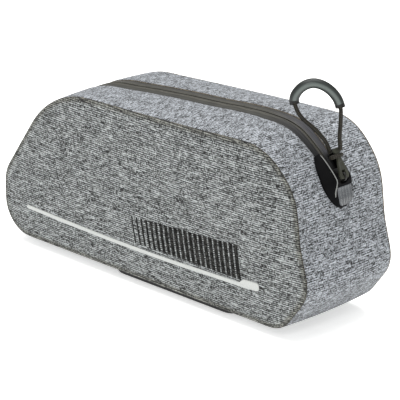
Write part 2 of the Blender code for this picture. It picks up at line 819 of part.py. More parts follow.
def main():
    """Build every piece of the bag."""
    clear_scene()
    parts = make_collection(COLLECTION_NAME)
    cutters = make_collection("cutters")
    outline = Outline()
    dock_last = outline.station_at(DOCK_FOOT_HEIGHT, at_head=True)
    dock_first = dock_last - DOCK_LENGTH
    zip_first = outline.station_at(ZIP_TAIL_HEIGHT, at_head=False)

    near_fabric = make_material("heather grey fabric, near side", (0.25, 0.255, 0.26), 0.85)
    far_fabric = make_material("heather grey fabric, far side", (0.24, 0.245, 0.25), 0.85)
    band_fabric = make_material("heather grey fabric, gusset", (0.30, 0.31, 0.325), 0.85)
    tape_coating = make_material("coated zip tape", (0.030, 0.030, 0.032), 0.45)
    coil_plastic = make_material("zip coil plastic", (0.075, 0.070, 0.062), 0.50)
    dock_plastic = make_material("moulded dock plastic", (0.016, 0.016, 0.019), 0.35)
    slider_metal = make_material("painted slider metal", (0.05, 0.05, 0.05), 0.40, 0.6)
    tab_plastic = make_material("olive tab plastic", (0.10, 0.10, 0.080), 0.45)
    cord_fibre = make_material("braided cord", (0.045, 0.040, 0.034), 0.80)
    handle_plastic = make_material("grey handle plastic", (0.115, 0.125, 0.120), 0.35)
    plate_plastic = make_material("black plate plastic", (0.010, 0.010, 0.011), 0.55)
    stripe_film = make_material("reflective stripe film", (0.72, 0.73, 0.73), 0.35)

    build_gusset_band(outline, zip_first, dock_first, parts, cutters, band_fabric)
    build_side_panel("side_panel_near", outline, -1.0, parts, near_fabric)
    build_side_panel("side_panel_far", outline, 1.0, parts, far_fabric)
    coil_top = build_zip(outline, zip_first, dock_first, parts, tape_coating, coil_plastic)
    build_zip_dock(outline, dock_first, parts, cutters, dock_plastic)
    slider_station = dock_first + TROUGH_LENGTH - CLEARANCE - SLIDER_LENGTH / 2
    crown_frame = build_slider(
        outline, slider_station, coil_top + CLEARANCE, parts, cutters, slider_metal
    )
    tab_place = build_pull_tab(crown_frame, parts, cutters, tab_plastic)
    build_knot(tab_place, parts, cord_fibre)
    build_cord_and_handle(parts, cutters, cord_fibre, handle_plastic)
    build_base_plate(parts, plate_plastic)
    build_stripe(outline, parts, stripe_film)
    bpy.context.view_layer.update()


main()
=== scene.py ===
"""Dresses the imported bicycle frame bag: heather fabric case, coated zip, moulded dock, cord pull.

Every new piece is a surface over two parameters, worked out with numpy as whole arrays. The case,
the zip and the dock all follow one rounded side outline, which BagForm holds. Lengths are metres.
"""

import logging
import math
from dataclasses import dataclass, field
from enum import Enum

import bmesh
import bpy
import numpy as np
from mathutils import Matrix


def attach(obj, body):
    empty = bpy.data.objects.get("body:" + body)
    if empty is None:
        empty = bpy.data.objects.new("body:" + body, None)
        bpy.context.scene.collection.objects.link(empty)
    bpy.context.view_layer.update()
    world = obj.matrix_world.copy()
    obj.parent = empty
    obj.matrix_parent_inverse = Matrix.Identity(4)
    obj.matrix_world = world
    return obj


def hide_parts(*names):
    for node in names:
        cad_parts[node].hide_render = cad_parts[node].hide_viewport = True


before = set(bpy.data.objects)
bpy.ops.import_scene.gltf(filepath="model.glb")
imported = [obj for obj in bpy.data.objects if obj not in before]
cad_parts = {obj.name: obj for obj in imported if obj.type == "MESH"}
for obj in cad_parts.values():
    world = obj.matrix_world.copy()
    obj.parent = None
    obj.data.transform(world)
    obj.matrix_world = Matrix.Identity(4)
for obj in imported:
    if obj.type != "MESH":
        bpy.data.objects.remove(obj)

LOG = logging.getLogger("frame_bag")
BODY = "root"
CLOTH = "cloth"
MARGIN = "margin"
WELD = 2e-6
TURN = 2.0 * math.pi
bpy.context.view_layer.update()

Array = np.ndarray
Tree = bpy.types.NodeTree
Node = bpy.types.Node
Socket = bpy.types.NodeSocket
Piece = bpy.types.Object


class Side(Enum):
    """The two long sides of the bag, with the sign of Y there."""

    NEAR = -1.0
    FAR = 1.0

    @property
    def word(self) -> str:
        """The side's name as part of a piece's name."""
        return self.name.lower()


def linear(colour: str) -> tuple[float, float, float, float]:
    """Turn an sRGB hex colour to linear light.

    Args:
        colour: Six hex digits, red first.

    Returns:
        Red, green and blue in linear light, and an alpha of one.
    """
    shares = np.array([int(colour[at: at + 2], 16) / 255.0 for at in (0, 2, 4)])
    light = np.where(shares <= 0.04045, shares / 12.92, ((shares + 0.055) / 1.055) ** 2.4)
    return (*(float(value) for value in light), 1.0)


def set_inputs(tree: Tree, node: Node, values: dict) -> None:
    """Link sockets to a node's inputs and set its constants.

    Args:
        tree: Node tree of the node.
        node: Node that takes the values.
        values: Socket, constant or hex colour, by input name or index.
    """
    for key, value in values.items():
        if isinstance(value, Socket):
            tree.links.new(value, node.inputs[key])
        else:
            node.inputs[key].default_value = linear(value) if isinstance(value, str) else value


def add_node(
    tree: Tree, kind: str, values: dict | None = None, stops: tuple = (), **settings
) -> Node:
    """Add a node with its settings, its constant inputs and its links.

    Args:
        tree: Node tree that takes the node.
        kind: Blender's name for the node type, without the words ShaderNode.
        values: Socket, constant or hex colour, by input name or index.
        stops: Places and hex colours of a colour ramp.
        settings: Node attributes by name.

    Returns:
        The new node.
    """
    node = tree.nodes.new(f"ShaderNode{kind}")
    for name, value in settings.items():
        setattr(node, name, value)
    set_inputs(tree, node, values or {})
    for index, (place, colour) in enumerate(stops):
        ramp = node.color_ramp.elements
        stop = ramp[index] if index < len(ramp) else ramp.new(place)
        stop.position = place
        stop.color = linear(colour)
    return node


def maths(tree: Tree, operation: str, *values: Socket | float) -> Socket:
    """Work out one step of arithmetic on sockets and numbers."""
    return add_node(tree, "Math", dict(enumerate(values)), operation=operation).outputs[0]


def mapped(tree: Tree, *values: Socket | float) -> Socket:
    """Map a value from one range to another: the value, two ends read, two ends written."""
    return add_node(tree, "MapRange", dict(enumerate(values))).outputs[0]


def ramp(tree: Tree, share: Socket, *stops: tuple[float, str]) -> Socket:
    """Read a colour ramp at a share."""
    return add_node(tree, "ValToRGB", {0: share}, stops=stops).outputs[0]


def blend(
    tree: Tree, share: Socket | float, first: Socket | str, second: Socket | str, **settings
) -> Socket:
    """Mix two colours, each a socket or a hex colour."""
    values = {0: share, 6: first, 7: second}
    return add_node(tree, "Mix", values, data_type="RGBA", **settings).outputs[2]


def noise(
    tree: Tree, place: Socket, scale: float = 1.0, detail: float = 2.0, dimensions: str = "2D",
    roughness: float = 0.5,
) -> Socket:
    """Read soft noise at a place."""
    values = {"Vector": place, "Scale": scale, "Detail": detail, "Roughness": roughness}
    return add_node(tree, "TexNoise", values, noise_dimensions=dimensions).outputs[0]


def cell_noise(tree: Tree, place: Socket) -> Socket:
    """Read one chance value for each unit cell of a place.

    Args:
        tree: Node tree of the material.
        place: Place whose unit cells are read.

    Returns:
        The chance value.
    """
    cells = add_node(tree, "VectorMath", {0: place}, operation="FLOOR").outputs[0]
    values = {"Vector": cells}
    return add_node(tree, "TexWhiteNoise", values, noise_dimensions="2D").outputs["Value"]


def relief(tree: Tree, height: Socket, strength: float, distance: float) -> Socket:
    """Bend the normal by a height, as a bump of a strength and a distance in metres."""
    values = {"Strength": strength, "Distance": distance, "Height": height}
    return add_node(tree, "Bump", values).outputs[0]


@dataclass(frozen=True)
class Finish:
    """A finish that dresses a Principled shader. Each kind of finish adds its own nodes."""

    name: str

    def material(self) -> bpy.types.Material:
        """Make the finish's material, or give the one that is there already.

        Returns:
            The material.
        """
        made = bpy.data.materials.get(self.name)
        if made is not None:
            return made
        made = bpy.data.materials.new(self.name)
        made.use_nodes = True
        shader = made.node_tree.nodes["Principled BSDF"]
        set_inputs(made.node_tree, shader, self.dress(made.node_tree))
        return made

    def dress(self, tree: Tree) -> dict:
        """Make the nodes, and give the shader's inputs by name."""
        raise NotImplementedError

    def cloth_place(self, tree: Tree, scale: tuple[float, float] = (1.0, 1.0)) -> Socket:
        """Read the piece's cloth map, in metres, and scale it along and across."""
        place = add_node(tree, "UVMap", uv_map=CLOTH).outputs[0]
        return add_node(tree, "Mapping", {0: place, 3: (*scale, 1.0)}).outputs[0]

    def cloth_parts(self, tree: Tree, scale: tuple[float, float] = (1.0, 1.0)) -> list[Socket]:
        """Read the scaled cloth map as one socket an axis."""
        return add_node(tree, "SeparateXYZ", {0: self.cloth_place(tree, scale)}).outputs

    def object_place(self, tree: Tree) -> Socket:
        """Read the object coordinates, in metres."""
        return add_node(tree, "TexCoord").outputs["Object"]


@dataclass(frozen=True)
class HeatherFabric(Finish):
    """Coated polyester in a plain weave of heather yarns, welded and not sewn.

    Dark and light fibres are spun into each yarn, so its tone wanders along it. The eye gets a
    salt and pepper grain with fine streaks along the yarns. The real yarns are finer than the
    0.6 to 0.8 mm drawn here, which is the least that a 400 pixel picture shows.
    """

    dark: str = "060606"
    light: str = "b4b9b9"
    pitch: float = 0.00080
    pitch_across: float = 0.00060
    streak: float = 0.0080
    cross_streak: float = 0.0012
    warp_share: float = 0.15
    grain: float = 0.38
    rib: float = 0.26
    drift: float = 0.03
    drift_scale: tuple[float, float] = (22.0, 90.0)
    contrast: float = 0.56
    centre: float = 0.965
    margin_reach: float = 0.004
    has_margin: bool = False

    def yarn(self, tree: Tree, place: Socket, along: int) -> tuple[Socket, Socket]:
        """Tone of the yarns that run one way.

        Each yarn has one place across, its rounded cell number, and a soft noise along it.

        Args:
            tree: Node tree of the material.
            place: Cloth place in yarn spacings.
            along: 0 for yarns along the first axis, 1 for the second.

        Returns:
            The tone socket and the socket of the cell number across the yarns.
        """
        split = add_node(tree, "SeparateXYZ", {0: place}).outputs
        cell = maths(tree, "FLOOR", split[1 - along])
        run = (self.streak / self.pitch, self.cross_streak / self.pitch_across)[along]
        far = maths(tree, "MULTIPLY", cell, 17.31 + along)
        near = maths(tree, "DIVIDE", split[along], run)
        spot = add_node(tree, "CombineXYZ", {0: near, 1: far}).outputs[0]
        return noise(tree, spot, roughness=0.7), cell

    def dress(self, tree: Tree) -> dict:
        """Mix both sets of yarns by the weave, add fibre grain, ribs and slow shifts of tone.

        Args:
            tree: Node tree of the material.

        Returns:
            The shader's inputs by name.
        """
        place = self.cloth_place(tree, (1.0 / self.pitch, 1.0 / self.pitch_across))
        weft, row = self.yarn(tree, place, 0)
        warp, column = self.yarn(tree, place, 1)
        over = maths(tree, "FLOORED_MODULO", maths(tree, "ADD", row, column), 2.0)
        pale = maths(tree, "FLOORED_MODULO", row, 2.0)
        picked = add_node(tree, "Mix", {0: over, 2: weft, 3: warp}).outputs[0]
        tone = add_node(tree, "Mix", {0: self.warp_share, 2: weft, 3: picked}).outputs[0]
        slow = noise(tree, self.cloth_place(tree, self.drift_scale))
        weights = (self.grain, self.rib, self.drift)
        for part, weight in zip((cell_noise(tree, place), pale, slow), weights):
            tone = maths(tree, "MULTIPLY_ADD", part, weight, tone)
        low, high = self.centre - self.contrast / 2, self.centre + self.contrast / 2
        colour = blend(tree, mapped(tree, tone, low, high), self.dark, self.light)
        if self.has_margin:
            colour = self.weld_margin(tree, colour)
        return {
            "Base Color": colour, "Roughness": 0.82, "Sheen Weight": 0.06, "IOR": 1.48,
            "Normal": relief(tree, self.yarn_height(tree), 0.35, 0.0002),
        }

    def yarn_height(self, tree: Tree) -> Socket:
        """Height of the crossings: the product of two sine waves, one a yarn spacing each way.

        Args:
            tree: Node tree of the material.

        Returns:
            The height, from 0 to 1.
        """
        split = self.cloth_parts(tree, (math.pi / self.pitch, math.pi / self.pitch_across))
        waves = [maths(tree, "SINE", split[axis]) for axis in (0, 1)]
        return maths(tree, "ABSOLUTE", maths(tree, "MULTIPLY", *waves))

    def weld_margin(self, tree: Tree, colour: Socket) -> Socket:
        """Darken the pressed margin beside the seam, with a fine dark line at its inner edge.

        Args:
            tree: Node tree of the material.
            colour: Colour of the fabric.

        Returns:
            The darkened colour.
        """
        margin = add_node(tree, "Attribute", attribute_name=MARGIN).outputs["Fac"]
        tint = ramp(
            tree, mapped(tree, margin, 0.0, self.margin_reach),
            (0.0, "857c6e"), (0.09, "a79f90"), (0.16, "dedad0"), (0.40, "dad7ce"),
            (0.48, "a49d90"), (0.54, "dcdad4"), (0.75, "f2f1ee"), (1.0, "ffffff"),
        )
        return blend(tree, 1.0, colour, tint, blend_type="MULTIPLY")


@dataclass(frozen=True)
class CutEdge(Finish):
    """Cut and welded edge of the coated fabric: brown coating between pale fibre ends."""

    brown: str = "3a332b"
    tan: str = "8d8270"

    def dress(self, tree: Tree) -> dict:
        """Let brown and tan change every millimetre or two along the edge.

        Args:
            tree: Node tree of the material.

        Returns:
            The shader's inputs by name.
        """
        grain = noise(tree, self.object_place(tree), 620.0, 3.0, "3D", 0.7)
        return {
            "Base Color": ramp(tree, grain, (0.40, self.brown), (0.66, self.tan)),
            "Roughness": 0.7,
        }


@dataclass(frozen=True)
class CoatedTape(Finish):
    """Zip tape with a matt polyurethane coat, olive grey. The ridge tops are painted lighter as a
    highlight, and painted shade lies nearly black in the centre gap, between the ridges and at the
    slot edges.

    Towards the dock the ridges give way to painted light: grey on the far side as a painted
    highlight and nearly black on the near side as painted shade.
    """

    dock_first: float = 0.0
    painted_light_reach: tuple[float, float] = (0.0453, 0.0203)
    trough_shade_reach: tuple[float, float] = (0.0013, -0.0017)
    half: float = 0.0080
    ridge: str = "514f48"
    bank: str = "33332f"
    flat: str = "3d3c37"
    rim: str = "2e2e2b"
    line: str = "1d1d19"
    far_highlight: str = "414146"
    shade: str = "131314"
    # Painted shade: the tape's colour inside the dock's trough.
    inside: str = "0e0e0f"

    def dress(self, tree: Tree) -> dict:
        """Colour the tape by the distance across, with painted light and shade, and fine scuffs
        along it.

        Args:
            tree: Node tree of the material.

        Returns:
            The shader's inputs by name.
        """
        place = self.cloth_parts(tree)
        across = maths(tree, "ABSOLUTE", place[1])
        # Across the tape: the lighter ridge tops are a painted highlight, and the dark line colour
        # in the centre gap, between the ridges and at the slot edges is painted shade.
        band = ramp(
            tree, mapped(tree, across, 0.0, self.half),
            (0.0, self.line), (0.07, self.line), (0.10, self.ridge), (0.20, self.ridge),
            (0.235, self.line), (0.27, self.ridge), (0.37, self.ridge), (0.45, self.bank),
            (0.52, self.flat), (0.78, self.flat), (0.88, self.rim), (1.0, self.line),
        )
        # Near the dock: the far side is painted grey as a highlight and the near side nearly black
        # as shade.
        side = mapped(tree, place[1], -0.0002, 0.0002)
        plain = blend(tree, side, self.shade, self.far_highlight)
        starts = [self.dock_first - reach for reach in (*self.painted_light_reach, *self.trough_shade_reach)]
        near_dock = mapped(tree, place[0], *starts[:2])
        ridged = mapped(tree, across, 0.0004, 0.0020)
        band = blend(tree, maths(tree, "MULTIPLY", near_dock, ridged), band, plain)
        # Painted shade: under the dock's trough the tape turns nearly black.
        band = blend(tree, mapped(tree, place[0], *starts[2:]), band, self.inside)
        scuff = noise(tree, self.cloth_place(tree, (110.0, 2600.0)), detail=3.0)
        wear = ramp(tree, scuff, (0.35, "b4b4b0"), (0.65, "ffffff"))
        return {
            "Base Color": blend(tree, 1.0, band, wear, blend_type="MULTIPLY"),
            "Roughness": mapped(tree, scuff, 0.0, 1.0, 0.42, 0.60),
            "Specular IOR Level": 0.25,
        }


@dataclass(frozen=True)
class MouldedPlastic(Finish):
    """Injection moulded plastic with a fine eroded grain and rubbed high spots."""

    colour: str = "17171a"
    worn: str = "2a2a2d"
    roughness: float = 0.34
    grain_mm: float = 0.5
    depth: float = 0.15
    gloss: float = 0.5

    def dress(self, tree: Tree) -> dict:
        """Vary the tone slowly and the gloss by the grain.

        Args:
            tree: Node tree of the material.

        Returns:
            The shader's inputs by name.
        """
        place = self.object_place(tree)
        grain = noise(tree, place, 1000.0 / self.grain_mm, dimensions="3D")
        slow = noise(tree, place, 90.0, 3.0, "3D")
        dullest = self.roughness + 0.08
        return {
            "Base Color": ramp(tree, slow, (0.38, self.colour), (0.72, self.worn)),
            "Roughness": mapped(tree, grain, 0.0, 1.0, self.roughness - 0.06, dullest),
            "IOR": 1.50,
            "Specular IOR Level": self.gloss,
            "Normal": relief(tree, grain, self.depth, 0.0001),
        }


@dataclass(frozen=True)
class PaintedLightTube(MouldedPlastic):
    """Extruded tube: a painted highlight along the face turned to the camera and the face opposite,
    painted shade at the edges between them and in its mouths.
    """

    edge: str = "1f2321"
    middle: str = "323735"
    painted_highlight: str = "5c6360"
    mouth_shade: str = "050505"
    girth: float = 0.0160
    mouth: float = 0.0020

    def dress(self, tree: Tree) -> dict:
        """Colour the tube by the cosine of the angle round it, as painted highlight and shade, and
        paint shade by its mouths.

        Args:
            tree: Node tree of the material.

        Returns:
            The shader's inputs by name.
        """
        place = self.cloth_parts(tree)
        cosine = maths(tree, "COSINE", maths(tree, "MULTIPLY", place[1], TURN / self.girth))
        # Painted highlight where the face turns to the camera, painted shade towards the edges.
        skin = ramp(
            tree, maths(tree, "ABSOLUTE", cosine),
            (0.62, self.edge), (0.88, self.middle), (0.99, self.painted_highlight),
        )
        # Painted shade: the bore and the outer skin within the mouth depth take the near-black
        # colour.
        outside = mapped(tree, place[0], self.mouth - 0.0003, self.mouth)
        return super().dress(tree) | {"Base Color": blend(tree, outside, self.mouth_shade, skin)}


@dataclass(frozen=True)
class BraidedCord(Finish):
    """Braided polyester cord: dark brown strands with a few paler olive ones."""

    dark: str = "0c0b08"
    pale: str = "3a362b"
    strand: float = 0.0009

    def dress(self, tree: Tree) -> dict:
        """Cross two sets of slanted strands and raise each of them.

        Args:
            tree: Node tree of the material.

        Returns:
            The shader's inputs by name.
        """
        split = self.cloth_parts(tree)
        waves = []
        for operation in ("ADD", "SUBTRACT"):
            slant = maths(tree, operation, split[0], split[1])
            turned = maths(tree, "MULTIPLY", slant, math.pi / self.strand)
            waves.append(maths(tree, "SINE", turned))
        height = maths(tree, "MULTIPLY", *waves)
        fibre = noise(tree, self.object_place(tree), 900.0, dimensions="3D")
        share = maths(tree, "MULTIPLY", mapped(tree, height, -1.0, 1.0), fibre)
        return {
            "Base Color": ramp(tree, share, (0.10, self.dark), (0.62, self.pale)),
            "Roughness": 0.62,
            "Specular IOR Level": 0.25,
            "Normal": relief(tree, height, 0.5, 0.00025),
        }


@dataclass(frozen=True)
class ReflectiveFilm(Finish):
    """Transferred reflective film: pale grey white, with the beads' fine sparkle."""

    colour: str = "c3c5c1"
    shade: str = "adb0af"

    def dress(self, tree: Tree) -> dict:
        """Break the flat tone with bead sparkle, drawn at 0.4 mm in place of 0.05 mm.

        Args:
            tree: Node tree of the material.

        Returns:
            The shader's inputs by name.
        """
        values = {"Vector": self.object_place(tree), "Scale": 2500.0}
        beads = add_node(tree, "TexVoronoi", values).outputs["Distance"]
        return {
            "Base Color": ramp(tree, beads, (0.15, self.colour), (0.75, self.shade)),
            "Roughness": mapped(tree, beads, 0.0, 1.0, 0.32, 0.55),
            "Coat Weight": 0.15,
        }


@dataclass(frozen=True)
class PrintedInk(Finish):
    """Screen printed ink that sinks into the weave, so some of the yarns stay paler."""

    ink: str = "0e0e0d"
    yarn: str = "383836"
    pitch: float = 0.00092

    def dress(self, tree: Tree) -> dict:
        """Leave single weave cells paler than the ink.

        Args:
            tree: Node tree of the material.

        Returns:
            The shader's inputs by name.
        """
        place = self.cloth_place(tree, (1.0 / self.pitch, 1.0 / self.pitch))
        return {
            "Base Color": ramp(tree, cell_noise(tree, place), (0.55, self.ink), (0.98, self.yarn)),
            "Roughness": 0.75,
            "Specular IOR Level": 0.12,
        }


@dataclass(frozen=True)
class LitSheet(Finish):
    """Translucent sheet of a light table: white, quite matt and lit from beneath."""

    colour: str = "f8f8f7"
    shade: str = "f2f2f1"
    glow: float = 0.53

    def dress(self, tree: Tree) -> dict:
        """Add the sheet's faint mottle.

        Args:
            tree: Node tree of the material.

        Returns:
            The shader's inputs by name.
        """
        mottle = noise(tree, self.object_place(tree), 6.0, dimensions="3D")
        return {
            "Base Color": ramp(tree, mottle, (0.3, self.shade), (0.7, self.colour)),
            "Roughness": 0.9,
            "Emission Color": self.colour,
            "Emission Strength": self.glow,
        }


@dataclass
class Grid:
    """Points over two parameters, with the cloth place of each in metres.

    Attributes:
        points: Rows by columns by three places.
        cloth: Rows by columns by two places on the cloth map.
        gaps: Faces left out, rows less one by columns less one.
        flip: Whether the faces are turned round.
        caps: Rows that one face closes: 0 for the first, -1 for the last.
        margin: Distance from the seam at each point.
    """

    points: Array
    cloth: Array
    gaps: Array | None = None
    flip: bool = False
    caps: tuple[int, ...] = ()
    margin: Array | None = None

    def faces(self) -> list:
        """Corner numbers of every face of the grid.

        Returns:
            One list of corners a face.
        """
        rows, columns = self.points.shape[:2]
        number = np.arange(rows * columns).reshape(rows, columns)
        quads = np.stack(
            [number[:-1, :-1], number[1:, :-1], number[1:, 1:], number[:-1, 1:]], axis=-1
        )
        kept = quads.reshape(-1, 4) if self.gaps is None else quads[~self.gaps]
        if self.flip:
            kept = kept[:, ::-1]
        faces = kept.tolist()
        for row in self.caps:
            ring = number[row] if (row == 0) != self.flip else number[row][::-1]
            faces.append(ring.tolist())
        return faces


def mesh_of(name: str, grids: list[Grid]) -> bpy.types.Mesh:
    """Join grids to one mesh, with their cloth map, and weld the points that meet.

    Args:
        name: Name of the mesh.
        grids: Grids whose faces point outward.

    Returns:
        The welded mesh.
    """
    points, faces, first = [], [], 0
    for grid in grids:
        points.append(grid.points.reshape(-1, 3))
        faces.extend([corner + first for corner in face] for face in grid.faces())
        first += len(points[-1])
    mesh = bpy.data.meshes.new(name)
    mesh.from_pydata(np.concatenate(points).tolist(), [], faces)
    corners = np.zeros(len(mesh.loops), np.int32)
    mesh.loops.foreach_get("vertex_index", corners)
    cloth = np.concatenate([grid.cloth.reshape(-1, 2) for grid in grids])
    layer = mesh.uv_layers.new(name=CLOTH)
    layer.uv.foreach_set("vector", cloth[corners].astype(np.float32).ravel())
    if grids[0].margin is not None:
        margin = mesh.attributes.new(MARGIN, "FLOAT", "POINT")
        values = np.concatenate([grid.margin.ravel() for grid in grids])
        margin.data.foreach_set("value", values.astype(np.float32))
    shape = bmesh.new()
    shape.from_mesh(mesh)
    bmesh.ops.remove_doubles(shape, verts=shape.verts, dist=WELD)
    bmesh.ops.dissolve_degenerate(shape, edges=shape.edges, dist=WELD)
    shape.to_mesh(mesh)
    shape.free()
    return mesh


def add_piece(
    name: str,
    grids: list[Grid],
    finishes: list[Finish],
    nodes: tuple[str, ...] = (),
    sharp: float = 38.0,
) -> Piece:
    """Make a piece from its grids, dress it and let it ride on the bag.

    Args:
        name: Name of the piece.
        grids: Grids of its surface.
        finishes: Finishes in the order of its material slots.
        nodes: CAD nodes that the piece stands for.
        sharp: Edges that bend more than this many degrees stay sharp.

    Returns:
        The new object.
    """
    mesh = mesh_of(name, grids)
    mesh.shade_smooth()
    mesh.set_sharp_from_angle(angle=math.radians(sharp))
    for finish in finishes:
        mesh.materials.append(finish.material())
    piece = bpy.data.objects.new(name, mesh)
    bpy.context.scene.collection.objects.link(piece)
    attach(piece, BODY)
    if nodes:
        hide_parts(*nodes)
    LOG.info("%s: %d faces", name, len(mesh.polygons))
    return piece


def give_wall(piece: Piece, thickness: float, rim: int = 0) -> None:
    """Give an open surface its wall on the inner side.

    Args:
        piece: Piece with one open skin.
        thickness: Thickness of the wall.
        rim: How many material slots further the rim's finish is.
    """
    wall = piece.modifiers.new("wall", "SOLIDIFY")
    wall.thickness = thickness
    wall.offset = -1.0
    wall.use_even_offset = True
    wall.material_offset_rim = rim


def round_edges(piece: Piece, width: float, segments: int = 2) -> None:
    """Round a hard piece's edges with a bevel.

    Args:
        piece: Piece to round.
        width: Width of the bevel.
        segments: Faces across the bevel.
    """
    bevel = piece.modifiers.new("rounded edges", "BEVEL")
    bevel.width = width
    bevel.segments = segments
    bevel.limit_method = "ANGLE"
    bevel.angle_limit = math.radians(35.0)


def smooth_through(places: Array, values: Array, at: Array) -> Array:
    """Read a smooth curve through given values: a cubic whose slopes are mean slopes.

    Args:
        places: Rising places of the values.
        values: Values there.
        at: Places to read.

    Returns:
        Values of the curve.
    """
    slopes = np.gradient(values, places)
    at = np.clip(at, places[0], places[-1])
    index = np.clip(np.searchsorted(places, at, side="right") - 1, 0, len(places) - 2)
    span = places[index + 1] - places[index]
    share = (at - places[index]) / span
    rise, fall = share**2 * (3.0 - 2.0 * share), share * (1.0 - share)
    return (
        values[index] * (1.0 - rise)
        + values[index + 1] * rise
        + fall * (1.0 - share) * span * slopes[index]
        - fall * share * span * slopes[index + 1]
    )


def smooth_route(route: Array, steps: int) -> Array:
    """Points of a Catmull-Rom curve through a route.

    Args:
        route: Points that the curve goes through.
        steps: Steps from each point to the next.

    Returns:
        The curve's points.
    """
    places = np.arange(len(route), dtype=float)
    at = np.linspace(0.0, len(route) - 1.0, (len(route) - 1) * steps + 1)
    return np.stack([smooth_through(places, route[:, axis], at) for axis in range(3)], axis=1)


def rings_along(path: Array, radii: Array, sideways: Array, sides: int) -> Array:
    """Carry circles along a path that keeps to one plane, or nearly so.

    Each ring point is the path point plus the ring's radius times the cosine of its angle along
    the side vector and the sine along the vector square to that side and the path.

    Args:
        path: Points of the path.
        radii: Radius at each point, or at each point and angle.
        sideways: Vector that is square to the path's plane.
        sides: Points of a ring, less the one that repeats.

    Returns:
        Rings by sides plus one by three places.
    """
    ways = ways_along(path)
    first = np.cross(np.cross(ways, sideways), ways)
    first /= np.linalg.norm(first, axis=1)[:, None]
    second = np.cross(ways, first)
    angles = np.linspace(0.0, TURN, sides + 1)
    spread = radii if radii.ndim == 2 else radii[:, None] * np.ones(sides + 1)
    return (
        path[:, None]
        + (spread * np.cos(angles))[..., None] * first[:, None]
        + (spread * np.sin(angles))[..., None] * second[:, None]
    )


def ways_along(path: Array) -> Array:
    """Unit vectors along a path at each of its points."""
    ways = np.gradient(path, axis=0)
    return ways / np.linalg.norm(ways, axis=1)[:, None]


def cloth_of(along: Array, across: Array) -> Array:
    """Cloth places from two arrays that fit one grid."""
    return np.stack(np.broadcast_arrays(along, across), axis=-1)


def lengths_along(path: Array) -> Array:
    """Length along a path at each of its points."""
    return np.concatenate([[0.0], np.cumsum(np.linalg.norm(np.diff(path, axis=0), axis=1))])


@dataclass(frozen=True)
class Corner:
    """Rounded corner of the side outline, as shares of half the length and of the height."""

    along: float
    height: float
    radius: float


